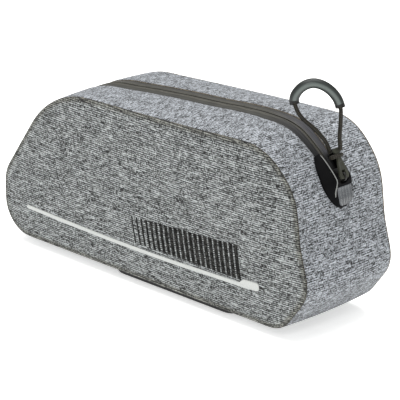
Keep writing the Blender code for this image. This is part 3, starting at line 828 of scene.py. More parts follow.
@dataclass
class BagForm:
    """Outer form of the case: a rounded side outline, carried across the bag's width."""

    length: float = 0.240
    height: float = 0.102
    half_width: float = 0.034
    base: float = 0.0055
    pillow: float = 0.0030
    pillow_reach: float = 0.035
    top_swell: float = 0.0024
    swell_centre: float = 0.040
    swell_reach: float = 0.078
    spacing: float = 0.0006
    softening: float = 0.0022
    arc_step: float = math.radians(2.0)
    low_share: float = 0.3
    batch: int = 1500
    corners: tuple[Corner, ...] = (
        Corner(-1.000, 0.000, 0.196),
        Corner(-0.995, 0.354, 0.186),
        Corner(-0.652, 0.931, 0.590),
        Corner(0.750, 1.000, 0.333),
        Corner(0.925, 0.779, 0.343),
        Corner(0.953, 0.500, 0.392),
        Corner(1.012, 0.252, 0.181),
        Corner(0.848, 0.000, 0.167),
    )
    dome_arounds: tuple[float, ...] = (
        0.000, 0.042, 0.100, 0.150, 0.180, 0.200, 0.219, 0.241, 0.282, 0.322, 0.363, 0.393,
        0.421, 0.445, 0.461, 0.476, 0.493, 0.518, 0.543, 0.576, 0.618, 0.660, 0.683, 1.000,
    )
    dome_heights: tuple[float, ...] = (
        0.0000, 0.0147, 0.0147, 0.0098, 0.0088, 0.0118, 0.0088, 0.0088, 0.0216, 0.0314,
        0.0363, 0.0431, 0.0431, 0.0314, 0.0127, -0.0059, -0.0137, -0.0098, 0.0020, 0.0147,
        0.0196, 0.0098, 0.0000, 0.0000,
    )
    stations: Array = field(init=False)
    outline: Array = field(init=False)
    normals: Array = field(init=False)

    def __post_init__(self) -> None:
        """Sample the outline evenly, soften it and find its normals.

        The softening is a Gaussian mean along the outline, which blends arcs into straight runs.
        """
        rough = self.rounded_corners()
        rough = np.vstack([rough, rough[:1]])
        along = lengths_along(rough)
        count = int(along[-1] / self.spacing)
        places = np.arange(count) * along[-1] / count
        even = np.stack([np.interp(places, along, rough[:, axis]) for axis in (0, 1)], axis=1)
        reach = int(3 * self.softening / self.spacing)
        weights = np.exp(-0.5 * (np.arange(-reach, reach + 1) * self.spacing / self.softening) ** 2)
        weights /= weights.sum()
        padded = np.vstack([even[-reach:], even, even[:reach]])
        self.outline = np.stack(
            [np.convolve(padded[:, axis], weights, "valid") for axis in (0, 1)], axis=1
        )
        self.stations = places
        ways = np.roll(self.outline, -1, axis=0) - np.roll(self.outline, 1, axis=0)
        ways /= np.linalg.norm(ways, axis=1)[:, None]
        self.normals = np.stack([-ways[:, 1], ways[:, 0]], axis=1)

    @property
    def around(self) -> float:
        """Length of the whole outline."""
        return float(self.stations[-1] + self.stations[1])

    def rounded_corners(self) -> Array:
        """Points of the outline: each corner is an arc that touches both of its runs.

        Returns:
            Points in the side plane, in order.
        """
        shares = np.array([(corner.along, corner.height) for corner in self.corners])
        spots = shares * (self.length / 2, self.height)
        arcs = []
        for index, corner in enumerate(self.corners):
            way_in = spots[index] - spots[index - 1]
            way_out = spots[(index + 1) % len(spots)] - spots[index]
            way_in, way_out = way_in / np.linalg.norm(way_in), way_out / np.linalg.norm(way_out)
            cross = way_in[0] * way_out[1] - way_in[1] * way_out[0]
            turn = math.atan2(cross, float(way_in @ way_out))
            radius = corner.radius * self.height
            start = spots[index] - way_in * radius * math.tan(abs(turn) / 2)
            centre = start + math.copysign(radius, turn) * np.array((-way_in[1], way_in[0]))
            angles = np.linspace(0.0, turn, max(4, int(abs(turn) / self.arc_step)))
            spoke = start - centre
            arcs.append(centre + np.stack([
                spoke[0] * np.cos(angles) - spoke[1] * np.sin(angles),
                spoke[0] * np.sin(angles) + spoke[1] * np.cos(angles),
            ], axis=1))
        return np.concatenate(arcs)

    def place(self, stations: Array) -> Array:
        """Outline points at stations.

        Args:
            stations: Places along the outline.

        Returns:
            One point of the side plane a station.
        """
        return np.stack([
            np.interp(stations, self.stations, self.outline[:, axis], period=self.around)
            for axis in (0, 1)
        ], axis=-1)

    def normal(self, stations: Array) -> Array:
        """Unit vectors out of the bag at stations.

        Args:
            stations: Places along the outline.

        Returns:
            One vector a station.
        """
        ways = np.stack([
            np.interp(stations, self.stations, self.normals[:, axis], period=self.around)
            for axis in (0, 1)
        ], axis=-1)
        return ways / np.linalg.norm(ways, axis=-1, keepdims=True)

    def station_at(self, height: float, at_head: bool) -> float:
        """Station where the rising tail side or the falling head side has a height.

        Args:
            height: Height over the foot of the case.
            at_head: Whether the head side is read, not the tail side.

        Returns:
            The station.
        """
        heights = self.outline[:, 1]
        top = int(np.argmax(heights))
        if not at_head:
            return float(np.interp(height, heights[: top + 1], self.stations[: top + 1]))
        low = top + int(np.argmax(heights[top:] < self.low_share * self.height))
        return float(np.interp(-height, -heights[top:low], self.stations[top:low]))

    def distance(self, points: Array) -> Array:
        """Distance of points to the outline's nearest run.

        Args:
            points: Any number of points in the side plane.

        Returns:
            One distance a point.
        """
        starts = self.outline
        ways = np.roll(starts, -1, axis=0) - starts
        lengths = (ways * ways).sum(axis=1)
        flat = points.reshape(-1, 2)
        found = []
        for part in np.array_split(flat, max(1, len(flat) // self.batch)):
            gap = part[:, None] - starts
            share = np.clip((gap * ways).sum(axis=2) / lengths, 0.0, 1.0)
            found.append(np.linalg.norm(gap - share[..., None] * ways, axis=2).min(axis=1))
        return np.concatenate(found).reshape(points.shape[:-1])

    def seam_half_width(self, points: Array) -> Array:
        """Half the width at the seam: the full top swells a little sideways.

        Args:
            points: Points in the side plane.

        Returns:
            Half the width at each point.
        """
        rise = np.clip(points[..., 1] / self.height, 0.0, 1.0) ** 2
        reach = np.clip(1.0 - ((points[..., 0] - self.swell_centre) / self.swell_reach) ** 2, 0, 1)
        return self.half_width + self.top_swell * rise * reach

    def panel_half_width(self, points: Array, distance: Array) -> Array:
        """Half the width on a side panel: a pillow that rises from the seam as a parabola."""
        share = np.clip(distance / self.pillow_reach, 0.0, 1.0)
        return self.seam_half_width(points) + self.pillow * (1.0 - (1.0 - share) ** 2)

    def dome(self, stations: Array) -> Array:
        """Height of the gusset's middle: full on top, drawn in by the zip at both shoulders."""
        heights = np.array(self.dome_heights) * self.height
        return smooth_through(np.array(self.dome_arounds), heights, stations / self.around % 1.0)

    def band_point(self, stations: Array, across: Array, offset: Array) -> Array:
        """Points over the gusset, whose dome is a parabola across the bag.

        Args:
            stations: Places along the outline.
            across: Places across the bag.
            offset: Height over the dome.

        Returns:
            Points, one for each station, place and offset.
        """
        normal = self.normal(stations)
        spots = self.place(stations)
        share = across / self.seam_half_width(spots)
        rise = self.dome(stations) * (1.0 - share**2) + offset
        spots = spots + normal * rise[..., None]
        across = np.broadcast_to(across, spots.shape[:-1])
        return np.stack([spots[..., 0], across, spots[..., 1] + self.base], axis=-1)

    def band_grid(self, stations: Array, across: Array, offset: Array, **settings) -> Grid:
        """Grid over the gusset, with the stations and the places across as its cloth map."""
        points = self.band_point(stations, across, offset)
        return Grid(points, cloth_of(stations, across), **settings)


@dataclass(frozen=True)
class ZipSlot:
    """Slot in the gusset for the zip, which narrows before it runs under the dock."""

    first: float
    dock_first: float
    trough_length: float = 0.0184
    clearance: float = 0.0003
    half: float = 0.0080
    dock_half: float = 0.0056
    taper: float = 0.0360

    @property
    def last(self) -> float:
        """Station where the slot ends, under the dock."""
        return self.dock_first + self.trough_length + self.clearance

    def half_at(self, stations: Array) -> Array:
        """Half width at stations."""
        start = self.dock_first - self.taper
        return np.interp(stations, (start, self.dock_first), (self.half, self.dock_half))


@dataclass
class Zip:
    """Coated zip: two tapes with ridged inner edges over a closed coil.

    A tape's section goes from its outer edge in to the lip and back below. Each point of it is a
    place across and an offset from the fabric's outer face.
    """

    form: BagForm
    slot: ZipSlot
    underlap: float = 0.0030
    ridged_half: float = 0.0034
    pitch: float = 0.0013
    coil_half: float = 0.0023
    coil_low: float = -0.00225
    coil_high: float = -0.00078
    coil_inset: float = 0.0003
    coil_dip: float = 0.0004
    tape_rows: int = 240
    tape: CoatedTape = field(init=False)
    coil: MouldedPlastic = MouldedPlastic(
        "nylon zip coil", colour="4a473f", worn="6d695f", roughness=0.42
    )
    section: tuple[tuple[float, float], ...] = (
        (11.00, -2.70), (11.00, -1.95), (8.60, -1.95), (8.05, -1.80), (7.80, -1.30),
        (7.60, -0.80), (7.25, -0.62), (6.40, -0.56), (5.20, -0.52), (4.20, -0.52),
        (3.55, -0.50), (3.15, -0.38), (2.80, -0.26), (2.45, -0.22), (2.15, -0.30),
        (1.95, -0.46), (1.76, -0.50), (1.60, -0.40), (1.38, -0.26), (1.10, -0.20),
        (0.82, -0.24), (0.60, -0.40), (0.48, -0.62), (0.55, -0.74), (0.80, -0.78),
        (2.10, -0.80), (2.60, -1.40), (3.20, -1.50), (7.20, -1.60), (7.60, -2.70),
        (11.00, -2.70),
    )
    coil_section: tuple[tuple[float, float], ...] = (
        (-1.0, 0.0), (-1.0, 0.6), (-0.8, 1.0), (-0.3, 1.0), (0.0, 0.86), (0.3, 1.0), (0.8, 1.0),
        (1.0, 0.6), (1.0, 0.0), (-1.0, 0.0),
    )

    def __post_init__(self) -> None:
        """Let the tape's coat change where the dock starts."""
        self.tape = CoatedTape(
            "polyurethane coated zip tape", dock_first=self.slot.dock_first, half=self.slot.half
        )

    def build(self) -> None:
        """Make both tapes and the coil."""
        for side in Side:
            self.build_tape(side)
        self.build_coil()

    def build_tape(self, side: Side) -> Piece:
        """Carry the tape's section along the zip.

        The ridged part keeps its width, and the flat part narrows with the slot. The cloth map is
        in metres.

        Args:
            side: Side of the bag.

        Returns:
            The tape.
        """
        first, last = self.slot.first - self.underlap, self.slot.last + self.underlap
        rows = np.linspace(first, last, self.tape_rows)
        section = np.array(self.section) * 0.001
        inner = np.minimum(section[:, 0], self.ridged_half)
        outer = (section[:, 0] - inner) / (self.slot.half - self.ridged_half)
        room = self.slot.half_at(rows)[:, None] - self.ridged_half
        across = side.value * (inner + outer * room)
        grid = self.form.band_grid(
            rows[:, None], across, section[:, 1], flip=side is Side.FAR, caps=(0, -1)
        )
        node = f"zip_tape_{side.word}"
        return add_piece(f"coated_tape_{side.word}", [grid], [self.tape], (node,))

    def build_coil(self) -> Piece:
        """Raise the closed coil's turns: the top follows a rectified sine along the zip.

        Returns:
            The coil.
        """
        first, last = self.slot.first + self.coil_inset, self.slot.last - self.coil_inset
        rows = np.linspace(first, last, int((last - first) / self.pitch) * 6)
        loop = np.array(self.coil_section)
        turns = np.abs(np.sin(math.pi * rows / self.pitch))[:, None]
        high = self.coil_high - self.coil_dip * (1.0 - turns)
        offset = self.coil_low + loop[:, 1] * (high - self.coil_low)
        grid = self.form.band_grid(
            rows[:, None], loop[:, 0] * self.coil_half, offset, caps=(0, -1)
        )
        return add_piece("coil_turns", [grid], [self.coil], ("zip_coil",))


@dataclass
class Case:
    """Welded fabric case: gusset band, two side panels and what is printed on the near one."""

    form: BagForm
    slot: ZipSlot
    band_rows: int = 470
    band_wall: float = 0.0014
    panel_wall: float = 0.0008
    seam_gap: float = 0.00005
    panel_stations: int = 520
    stripe_lift: float = 0.00005
    stripe_thickness: float = 0.0003
    stripe_half: float = 1.15
    stripe_step: float = 2.6
    stripe_tip: float = 0.15
    stripe_ends: tuple[float, float, float] = (-0.0977, -0.0962, 0.0858)
    stripe_slant: tuple[float, float] = (0.0735, 0.0768)
    stripe_corner: tuple[float, float] = (0.0022, 2.0)
    stripe_middle: tuple = (
        (-98, 20.1), (-69, 19.3), (-35, 18.55), (0, 18.4), (28, 18.8), (44, 19.35), (60, 19.75),
        (74, 20.15), (88, 20.9),
    )
    bar_count: int = 22
    bars_that_widen: float = 8.0
    bar_ink: float = 0.00008
    bar_tops: tuple = ((-0.0091, 0.0375), (0.0708, 0.0423))
    bar_feet: tuple = ((-0.0065, 0.0221), (0.0735, 0.0228))
    bar_widths: tuple[float, float] = (0.0010, 0.0027)
    spine: tuple = ((-0.45, 0.42), (0.62, 0.48))
    rim_dip: float = 0.0003
    seam_reach: float = 0.0010
    slot_reach: float = 0.0008
    groove_depth: float = 0.00018
    groove_place: float = 0.0020
    groove_half: float = 0.00028
    pressed_depth: float = 0.00012
    pressed_reach: float = 0.0024
    roll: float = 0.0005
    seam_rings: tuple = (0, .15, .3, .5, .8, 1.1, 1.4, 1.7, 1.9, 2.1, 2.3, 2.6, 3.0, 3.6)
    inner_rings: int = 26
    fabrics: dict = field(default_factory=lambda: {
        side: HeatherFabric(f"heather polyester, {side.word} panel", has_margin=True)
        for side in Side
    })
    band_fabric: HeatherFabric = HeatherFabric(
        "heather polyester, gusset", dark="0b0c0d", light="b4b9bf", pitch=0.00062,
        pitch_across=0.00062, streak=0.0050, rib=0.14, centre=0.85,
    )
    cut_edge: CutEdge = CutEdge("welded cut edge")
    film: ReflectiveFilm = ReflectiveFilm("reflective transfer film")
    ink: PrintedInk = PrintedInk("screen printed ink")

    def build(self) -> None:
        """Make the band, the panels, the stripe and the bars."""
        self.build_band()
        for side in Side:
            self.build_panel(side)
        self.build_stripe()
        self.build_bars()

    def build_band(self) -> Piece:
        """Carry the gusset round the outline, with the zip's slot left open.

        Across the bag the band is the form's dome. It dips as a parabola beside each seam and
        beside the zip.

        Returns:
            The band.
        """
        form = self.form
        rows = np.linspace(0.0, form.around, self.band_rows + 1)
        for end in (self.slot.first, self.slot.last):
            rows[np.argmin(np.abs(rows - end))] = end
        lip = form.seam_half_width(form.place(rows)) - self.panel_wall - self.seam_gap
        shares = 1.0 - (1.0 - np.linspace(0.0, 1.0, 21)) ** 1.7
        half = self.slot.half_at(rows)[:, None]
        outer = half + (lip[:, None] - half) * shares
        inner = half * np.linspace(-1.0, 1.0, 9)[1:-1]
        across = np.concatenate([-outer[:, ::-1], inner, outer], axis=1)
        stations = np.broadcast_to(rows[:, None], across.shape)
        beyond = np.abs(across) - lip[:, None] + self.seam_reach
        seam_dip = np.clip(beyond / self.seam_reach, 0.0, 1.0) ** 2
        open_row = ((rows >= self.slot.first) & (rows <= self.slot.last))[:, None]
        within = half + self.slot_reach - np.abs(across)
        slot_dip = np.clip(within / self.slot_reach, 0.0, 1.0) ** 2
        offset = -self.rim_dip * (seam_dip + slot_dip * open_row)
        middle = (rows[:-1] + rows[1:]) / 2
        cut = (middle > self.slot.first) & (middle < self.slot.last)
        column = np.arange(across.shape[1] - 1)
        in_slot = (column >= 20) & (column < across.shape[1] - 21)
        grid = Grid(
            form.band_point(stations, across, offset),
            np.stack([across, stations], axis=-1),
            gaps=cut[:, None] & in_slot,
            flip=False,
        )
        band = add_piece(
            "fabric_gusset", [grid], [self.band_fabric, self.cut_edge],
            ("gusset_band",),
        )
        give_wall(band, self.band_wall, rim=1)
        return band

    def build_panel(self, side: Side) -> Piece:
        """Draw the panel as rings from the seam in to a line through its middle.

        The first rings lie a set distance in from the seam, and the others share out the way that
        is left. The pressed weld margin is a shallow step and groove beside the seam.

        Args:
            side: Side of the bag.

        Returns:
            The panel.
        """
        form = self.form
        stations = np.linspace(0.0, form.around, self.panel_stations + 1)
        edge = form.place(stations)
        start, end = (np.array((a * form.length / 2, h * form.height)) for a, h in self.spine)
        way = end - start
        share = np.clip((edge - start) @ way / (way @ way), 0.0, 1.0)
        middle = start + share[:, None] * way
        reach = np.linalg.norm(edge - middle, axis=1)
        near = np.array(self.seam_rings)[:, None] * 0.001 / reach
        later = np.linspace(0.0, 1.0, self.inner_rings)[1:, None]
        shares = np.vstack([near, near[-1] + (0.985 - near[-1]) * later])
        spots = edge + (middle - edge) * shares[..., None]
        distance = form.distance(spots)
        distance[0] = 0.0
        roll = np.clip(1.0 - distance / self.roll, 0.0, 1.0)
        groove = np.exp(-(((distance - self.groove_place) / self.groove_half) ** 2))
        pressed = np.clip(1.0 - distance / self.pressed_reach, 0.0, 1.0)
        depth = form.panel_half_width(spots, distance) - self.groove_depth * groove
        depth -= self.roll * (1.0 - np.sqrt(1.0 - roll**2)) + self.pressed_depth * pressed
        across = side.value * depth
        points = np.stack([spots[..., 0], across, spots[..., 1] + form.base], axis=-1)
        grid = Grid(
            points, spots, flip=side is Side.FAR, caps=(-1,), margin=distance,
        )
        panel = add_piece(
            f"fabric_side_{side.word}", [grid], [self.fabrics[side], self.cut_edge],
            (f"side_panel_{side.word}",),
        )
        give_wall(panel, self.panel_wall, rim=1)
        return panel

    def on_near_panel(self, along: Array, height: Array, lift: float) -> Array:
        """Points over the near panel at places along and heights, raised by a lift.

        Args:
            along: Places along the bag.
            height: Heights over the foot of the case.
            lift: Height over the panel.

        Returns:
            Points on or over the panel.
        """
        spots = np.stack([along, height], axis=-1)
        depth = self.form.panel_half_width(spots, self.form.distance(spots)) + lift
        return np.stack([along, -depth, height + self.form.base], axis=-1)

    def build_stripe(self) -> Piece:
        """Lay the film between two edges that follow the panel's bulge.

        Both edges are smooth curves half the film's width from its middle line. At the head end
        the upper edge steps up on a slant, and the end's corners round off as quarter circles.

        Returns:
            The stripe.
        """
        tip, full, turn_from = self.stripe_ends
        low, high = self.stripe_slant
        corner, corner_height = self.stripe_corner
        runs = ((tip, full, 4), (full, low, 90), (low, high, 7), (high, turn_from, 8))
        along = np.concatenate([np.linspace(*run)[:-1] for run in runs] + [
            turn_from + corner * np.sin(np.linspace(0.0, math.pi / 2, 9))
        ])
        places, heights = (np.array(row) for row in zip(*self.stripe_middle))
        middle = smooth_through(places * 0.001, heights, along)
        half = np.interp(along, (tip, full), (self.stripe_tip, 1.0)) * self.stripe_half
        step = np.interp(along, (low, high), (0.0, 1.0)) * self.stripe_step
        share = np.clip((along - turn_from) / corner, 0.0, 1.0)
        turn = corner_height * (1.0 - np.sqrt(1.0 - share**2))
        edges = np.stack([middle - half + turn, middle + half + step - turn], axis=-1) * 0.001
        shares = np.linspace(0.0, 1.0, 7)
        height = edges[:, :1] + (edges[:, 1:] - edges[:, :1]) * shares
        spread = np.broadcast_to(along[:, None], height.shape)
        points = self.on_near_panel(spread, height, self.stripe_lift + self.stripe_thickness)
        stripe = add_piece(
            "film_stripe", [Grid(points, np.stack([spread, height], axis=-1))],
            [self.film], ("reflective_stripe",),
        )
        give_wall(stripe, self.stripe_thickness)
        return stripe

    def build_bars(self) -> Piece:
        """Print the row of leaning bars: each is a parallelogram, and they widen along the bag.

        Returns:
            The bars, as one piece.
        """
        tops = np.linspace(*self.bar_tops, self.bar_count)
        feet = np.linspace(*self.bar_feet, self.bar_count)
        growth = np.clip(np.arange(self.bar_count) / self.bars_that_widen, 0.0, 1.0)
        widths = self.bar_widths[0] + (self.bar_widths[1] - self.bar_widths[0]) * growth
        climb = np.linspace(0.0, 1.0, 14)[:, None]
        slope = (self.bar_feet[1][1] - self.bar_feet[0][1]) / (
            self.bar_feet[1][0] - self.bar_feet[0][0]
        )
        grids = []
        for top, foot, width in zip(tops, feet, widths):
            sideways = np.linspace(-0.5, 0.5, 4) * width
            along = foot[0] + (top[0] - foot[0]) * climb + sideways
            height = foot[1] + (top[1] - foot[1]) * climb + slope * sideways
            points = self.on_near_panel(along, height, self.bar_ink)
            grids.append(Grid(points, np.stack([along, height], axis=-1), flip=True))
        bars = add_piece("printed_bars", grids, [self.ink])
        give_wall(bars, self.bar_ink)
        return bars


@dataclass
class ZipDock:
    """Moulded dock at the zip's end: two rails beside an open trough, and a closed nose."""

    form: BagForm
    first: float
    length: float = 0.0305
    base_half: float = 0.0114
    far_share: float = 0.85
    crest_half: float = 0.0050
    height: float = 0.0058
    rim: float = 0.0006
    clearance: float = 0.0003
    trough_half: float = 0.0042
    ridge_half: float = 0.0047
    trough_length: float = 0.0184
    trough_round: float = 0.0040
    ridge_radius: float = 0.00035
    ridge_share: float = 0.86
    flat_share: float = 0.92
    flank_power: float = 0.9
    pad_first: float = 0.63
    pad_last: float = 0.965
    pad_tip: float = 0.90
    pad_spread: float = 1.12
    pad_thickness: float = 0.0005
    pad_sunk: float = 0.0002
    pad_wall: float = 0.0003
    rib_height: float = 0.00010
    ribs: float = 5.0
    rows: int = 110
    plastic: MouldedPlastic = MouldedPlastic(
        "moulded thermoplastic rubber, black", colour="040405", worn="09090a", roughness=0.55,
        grain_mm=0.35, depth=0.10, gloss=0.06,
    )
    # The pad's grey is a painted reflection of the lights on the black nose; its ribs are relief.
    pad: MouldedPlastic = MouldedPlastic(
        "ribbed dock pad, dark grey", colour="414447", worn="56595c", roughness=0.26,
        grain_mm=0.5, depth=0.05,
    )
    # The crease bead's pale grey is a painted highlight along the near ridge.
    crease_highlight: MouldedPlastic = MouldedPlastic(
        "rubbed mould edge, grey", colour="6f716f", worn="8b8d8a", roughness=0.30, depth=0.0
    )
    crease_radius: float = 0.00032
    crease: tuple = (
        (0.02, 5.05), (0.16, 5.10), (0.30, 5.10), (0.44, 5.12), (0.54, 5.25), (0.62, 5.9),
        (0.70, 6.6), (0.78, 6.9),
    )
    sections: tuple = (
        (0.00, 0.62, 0.95, 0.50), (0.11, 0.78, 1.00, 0.63), (0.22, 0.90, 1.00, 0.72),
        (0.35, 0.97, 1.00, 0.82), (0.46, 1.00, 1.00, 0.94), (0.53, 1.00, 1.00, 1.00),
        (0.60, 0.98, 1.00, 0.88), (0.67, 0.92, 1.00, 0.72), (0.76, 0.82, 1.00, 0.65),
        (0.85, 0.68, 0.97, 0.62), (0.93, 0.48, 0.78, 0.44), (1.00, 0.22, 0.42, 0.16),
    )

    def read(self, share: Array, side: Side) -> tuple[Array, Array, Array]:
        """Base half width, crest half width and height at shares of the dock's length.

        Args:
            share: Shares of the dock's length.
            side: Side of the dock, as the flanks differ.

        Returns:
            Base half width, crest half width and height.
        """
        table = np.array(self.sections)
        base, crest, height = (
            smooth_through(table[:, 0], table[:, column], share) for column in (1, 2, 3)
        )
        base = base * self.base_half * (self.far_share if side is Side.FAR else 1.0)
        flat = np.minimum(crest * self.crest_half, self.flat_share * base)
        return base, flat, height * self.height

    def rise(self, share: Array, across: Array, side: Side = Side.FAR) -> Array:
        """Height over the fabric: a sine curve from the base's rim up to the crest.

        Args:
            share: Share of the dock's length.
            across: Distance from the middle.
            side: Side of the dock, as the flanks differ.

        Returns:
            Offsets from the fabric's outer face.
        """
        base, flat, height = self.read(share, side)
        climb = np.clip((base - across) / (base - flat), 0.0, 1.0)
        curve = np.sin(climb * math.pi / 2) ** self.flank_power
        return self.clearance + self.rim + (height - self.rim) * curve

    def build(self) -> None:
        """Make the dock, its crease bead painted as a highlight and the ribbed pad painted as a
        reflection on its nose.
        """
        self.build_body()
        self.build_crease()
        self.build_pad()

    def build_body(self) -> Piece:
        """Join the near and the far half of the dock."""
        grids = [self.half_body(side) for side in Side]
        return add_piece("moulded_dock", grids, [self.plastic], ("zip_dock",))

    def half_body(self, side: Side) -> Grid:
        """Carry the section of one half along the dock.

        A section goes up the flank and over the crest to the ridge, round it, down the inner wall
        and back along the base. At the trough's end the ridge closes in as an ellipse.

        Args:
            side: Side of the dock.

        Returns:
            The closed grid of the half.
        """
        share = np.linspace(0.0, 1.0, self.rows)
        share = np.sort(np.append(share, self.trough_length / self.length))
        along = share * self.length
        start = self.trough_length - self.trough_round
        shut = np.clip((along - start) / self.trough_round, 0.0, 1.0)
        opening = np.sqrt(1.0 - shut**2)
        base, _, height = self.read(share, side)
        ridge = np.minimum(self.ridge_half, self.ridge_share * base) * opening
        foot = self.trough_half * opening
        radius = self.ridge_radius * opening
        across, offset = [], []
        for step in np.linspace(0.0, 1.0, 30):
            place = base + (ridge + radius - base) * step
            across.append(place)
            offset.append(self.rise(share, place, side))
        top = self.rise(share, ridge + radius, side)
        for angle in np.linspace(0.0, math.pi / 2, 6)[1:]:
            across.append(ridge + radius * (1.0 - math.sin(angle)))
            offset.append(top - radius * (1.0 - math.cos(angle)))
        last = offset[-1]
        low = np.full_like(share, self.clearance)
        for step in (0.5, 1.0):
            across.append(ridge + (foot - ridge) * step)
            offset.append(last + (low - last) * step)
        wall = len(across) - 3
        for step in (0.5, 1.0):
            across.append(foot + (base - foot) * step)
            offset.append(low)
        across.append(across[0])
        offset.append(offset[0])
        across, offset = np.stack(across, axis=1), np.stack(offset, axis=1)
        shut_row = opening <= 1e-9
        gaps = np.zeros((len(share) - 1, across.shape[1] - 1), bool)
        gaps[:, wall: wall + 2] = (shut_row[:-1] & shut_row[1:])[:, None]
        return self.form.band_grid(
            (self.first + along)[:, None], side.value * across, offset,
            gaps=gaps, flip=side is Side.FAR, caps=(0, -1),
        )

    def build_crease(self) -> Piece:
        """Raise the crease bead, painted pale as a highlight: a fine bead on the near ridge that
        runs on down the flank.

        Returns:
            The crease.
        """
        share, across = (np.array(row) for row in zip(*self.crease))
        steps = np.linspace(0.0, 1.0, len(share))
        at = np.linspace(0.0, 1.0, 70)
        share, across = (smooth_through(steps, row, at) for row in (share, across * 0.001))
        offset = self.rise(share, across, Side.NEAR)
        path = self.form.band_point(self.first + share * self.length, -across, offset)
        taper = np.sqrt(np.clip(1.0 - np.abs(2.0 * at - 1.0) ** 8, 0.02, 1.0))
        points = rings_along(path, self.crease_radius * taper, np.array((0.0, 1.0, 0.0)), 12)
        cloth = cloth_of(at[:, None], np.arange(13) * 0.0002)
        return add_piece(
            "dock_crease_highlight", [Grid(points, cloth, caps=(0, -1))], [self.crease_highlight]
        )

    def build_pad(self) -> Piece:
        """Lay the pad over the crest: its ribs are a cosine across, and its edge rounds off. Its
        grey colour is a painted reflection of the lights on the black nose.

        Returns:
            The pad.
        """
        share = np.linspace(self.pad_first, self.pad_last, 40)
        sideways = np.linspace(-1.0, 1.0, 49)
        _, flat, _ = self.read(share, Side.FAR)
        to_tip = np.clip(share - self.pad_tip, 0.0, 1.0) / (self.pad_last - self.pad_tip + 0.001)
        half = self.pad_spread * flat * (0.35 + 0.65 * np.sqrt(1.0 - to_tip**2))
        across = half[:, None] * sideways
        edge = np.clip((1.0 - np.abs(sideways)) / 0.10, 0.0, 1.0)
        ends = np.clip(np.minimum(share - share[0], share[-1] - share) / 0.012, 0.0, 1.0)
        cover = np.sqrt(edge[None, :] * ends[:, None])
        ribs = self.rib_height * (1.0 + np.cos(self.ribs * math.pi * sideways))
        sunk = self.rise(share[:, None], np.abs(across)) - self.pad_sunk
        offset = sunk + cover * (self.pad_thickness + ribs)
        grid = self.form.band_grid(self.first + share[:, None] * self.length, across, offset)
        pad = add_piece("dock_pad_painted_reflection", [grid], [self.pad])
        give_wall(pad, self.pad_wall)
        return pad


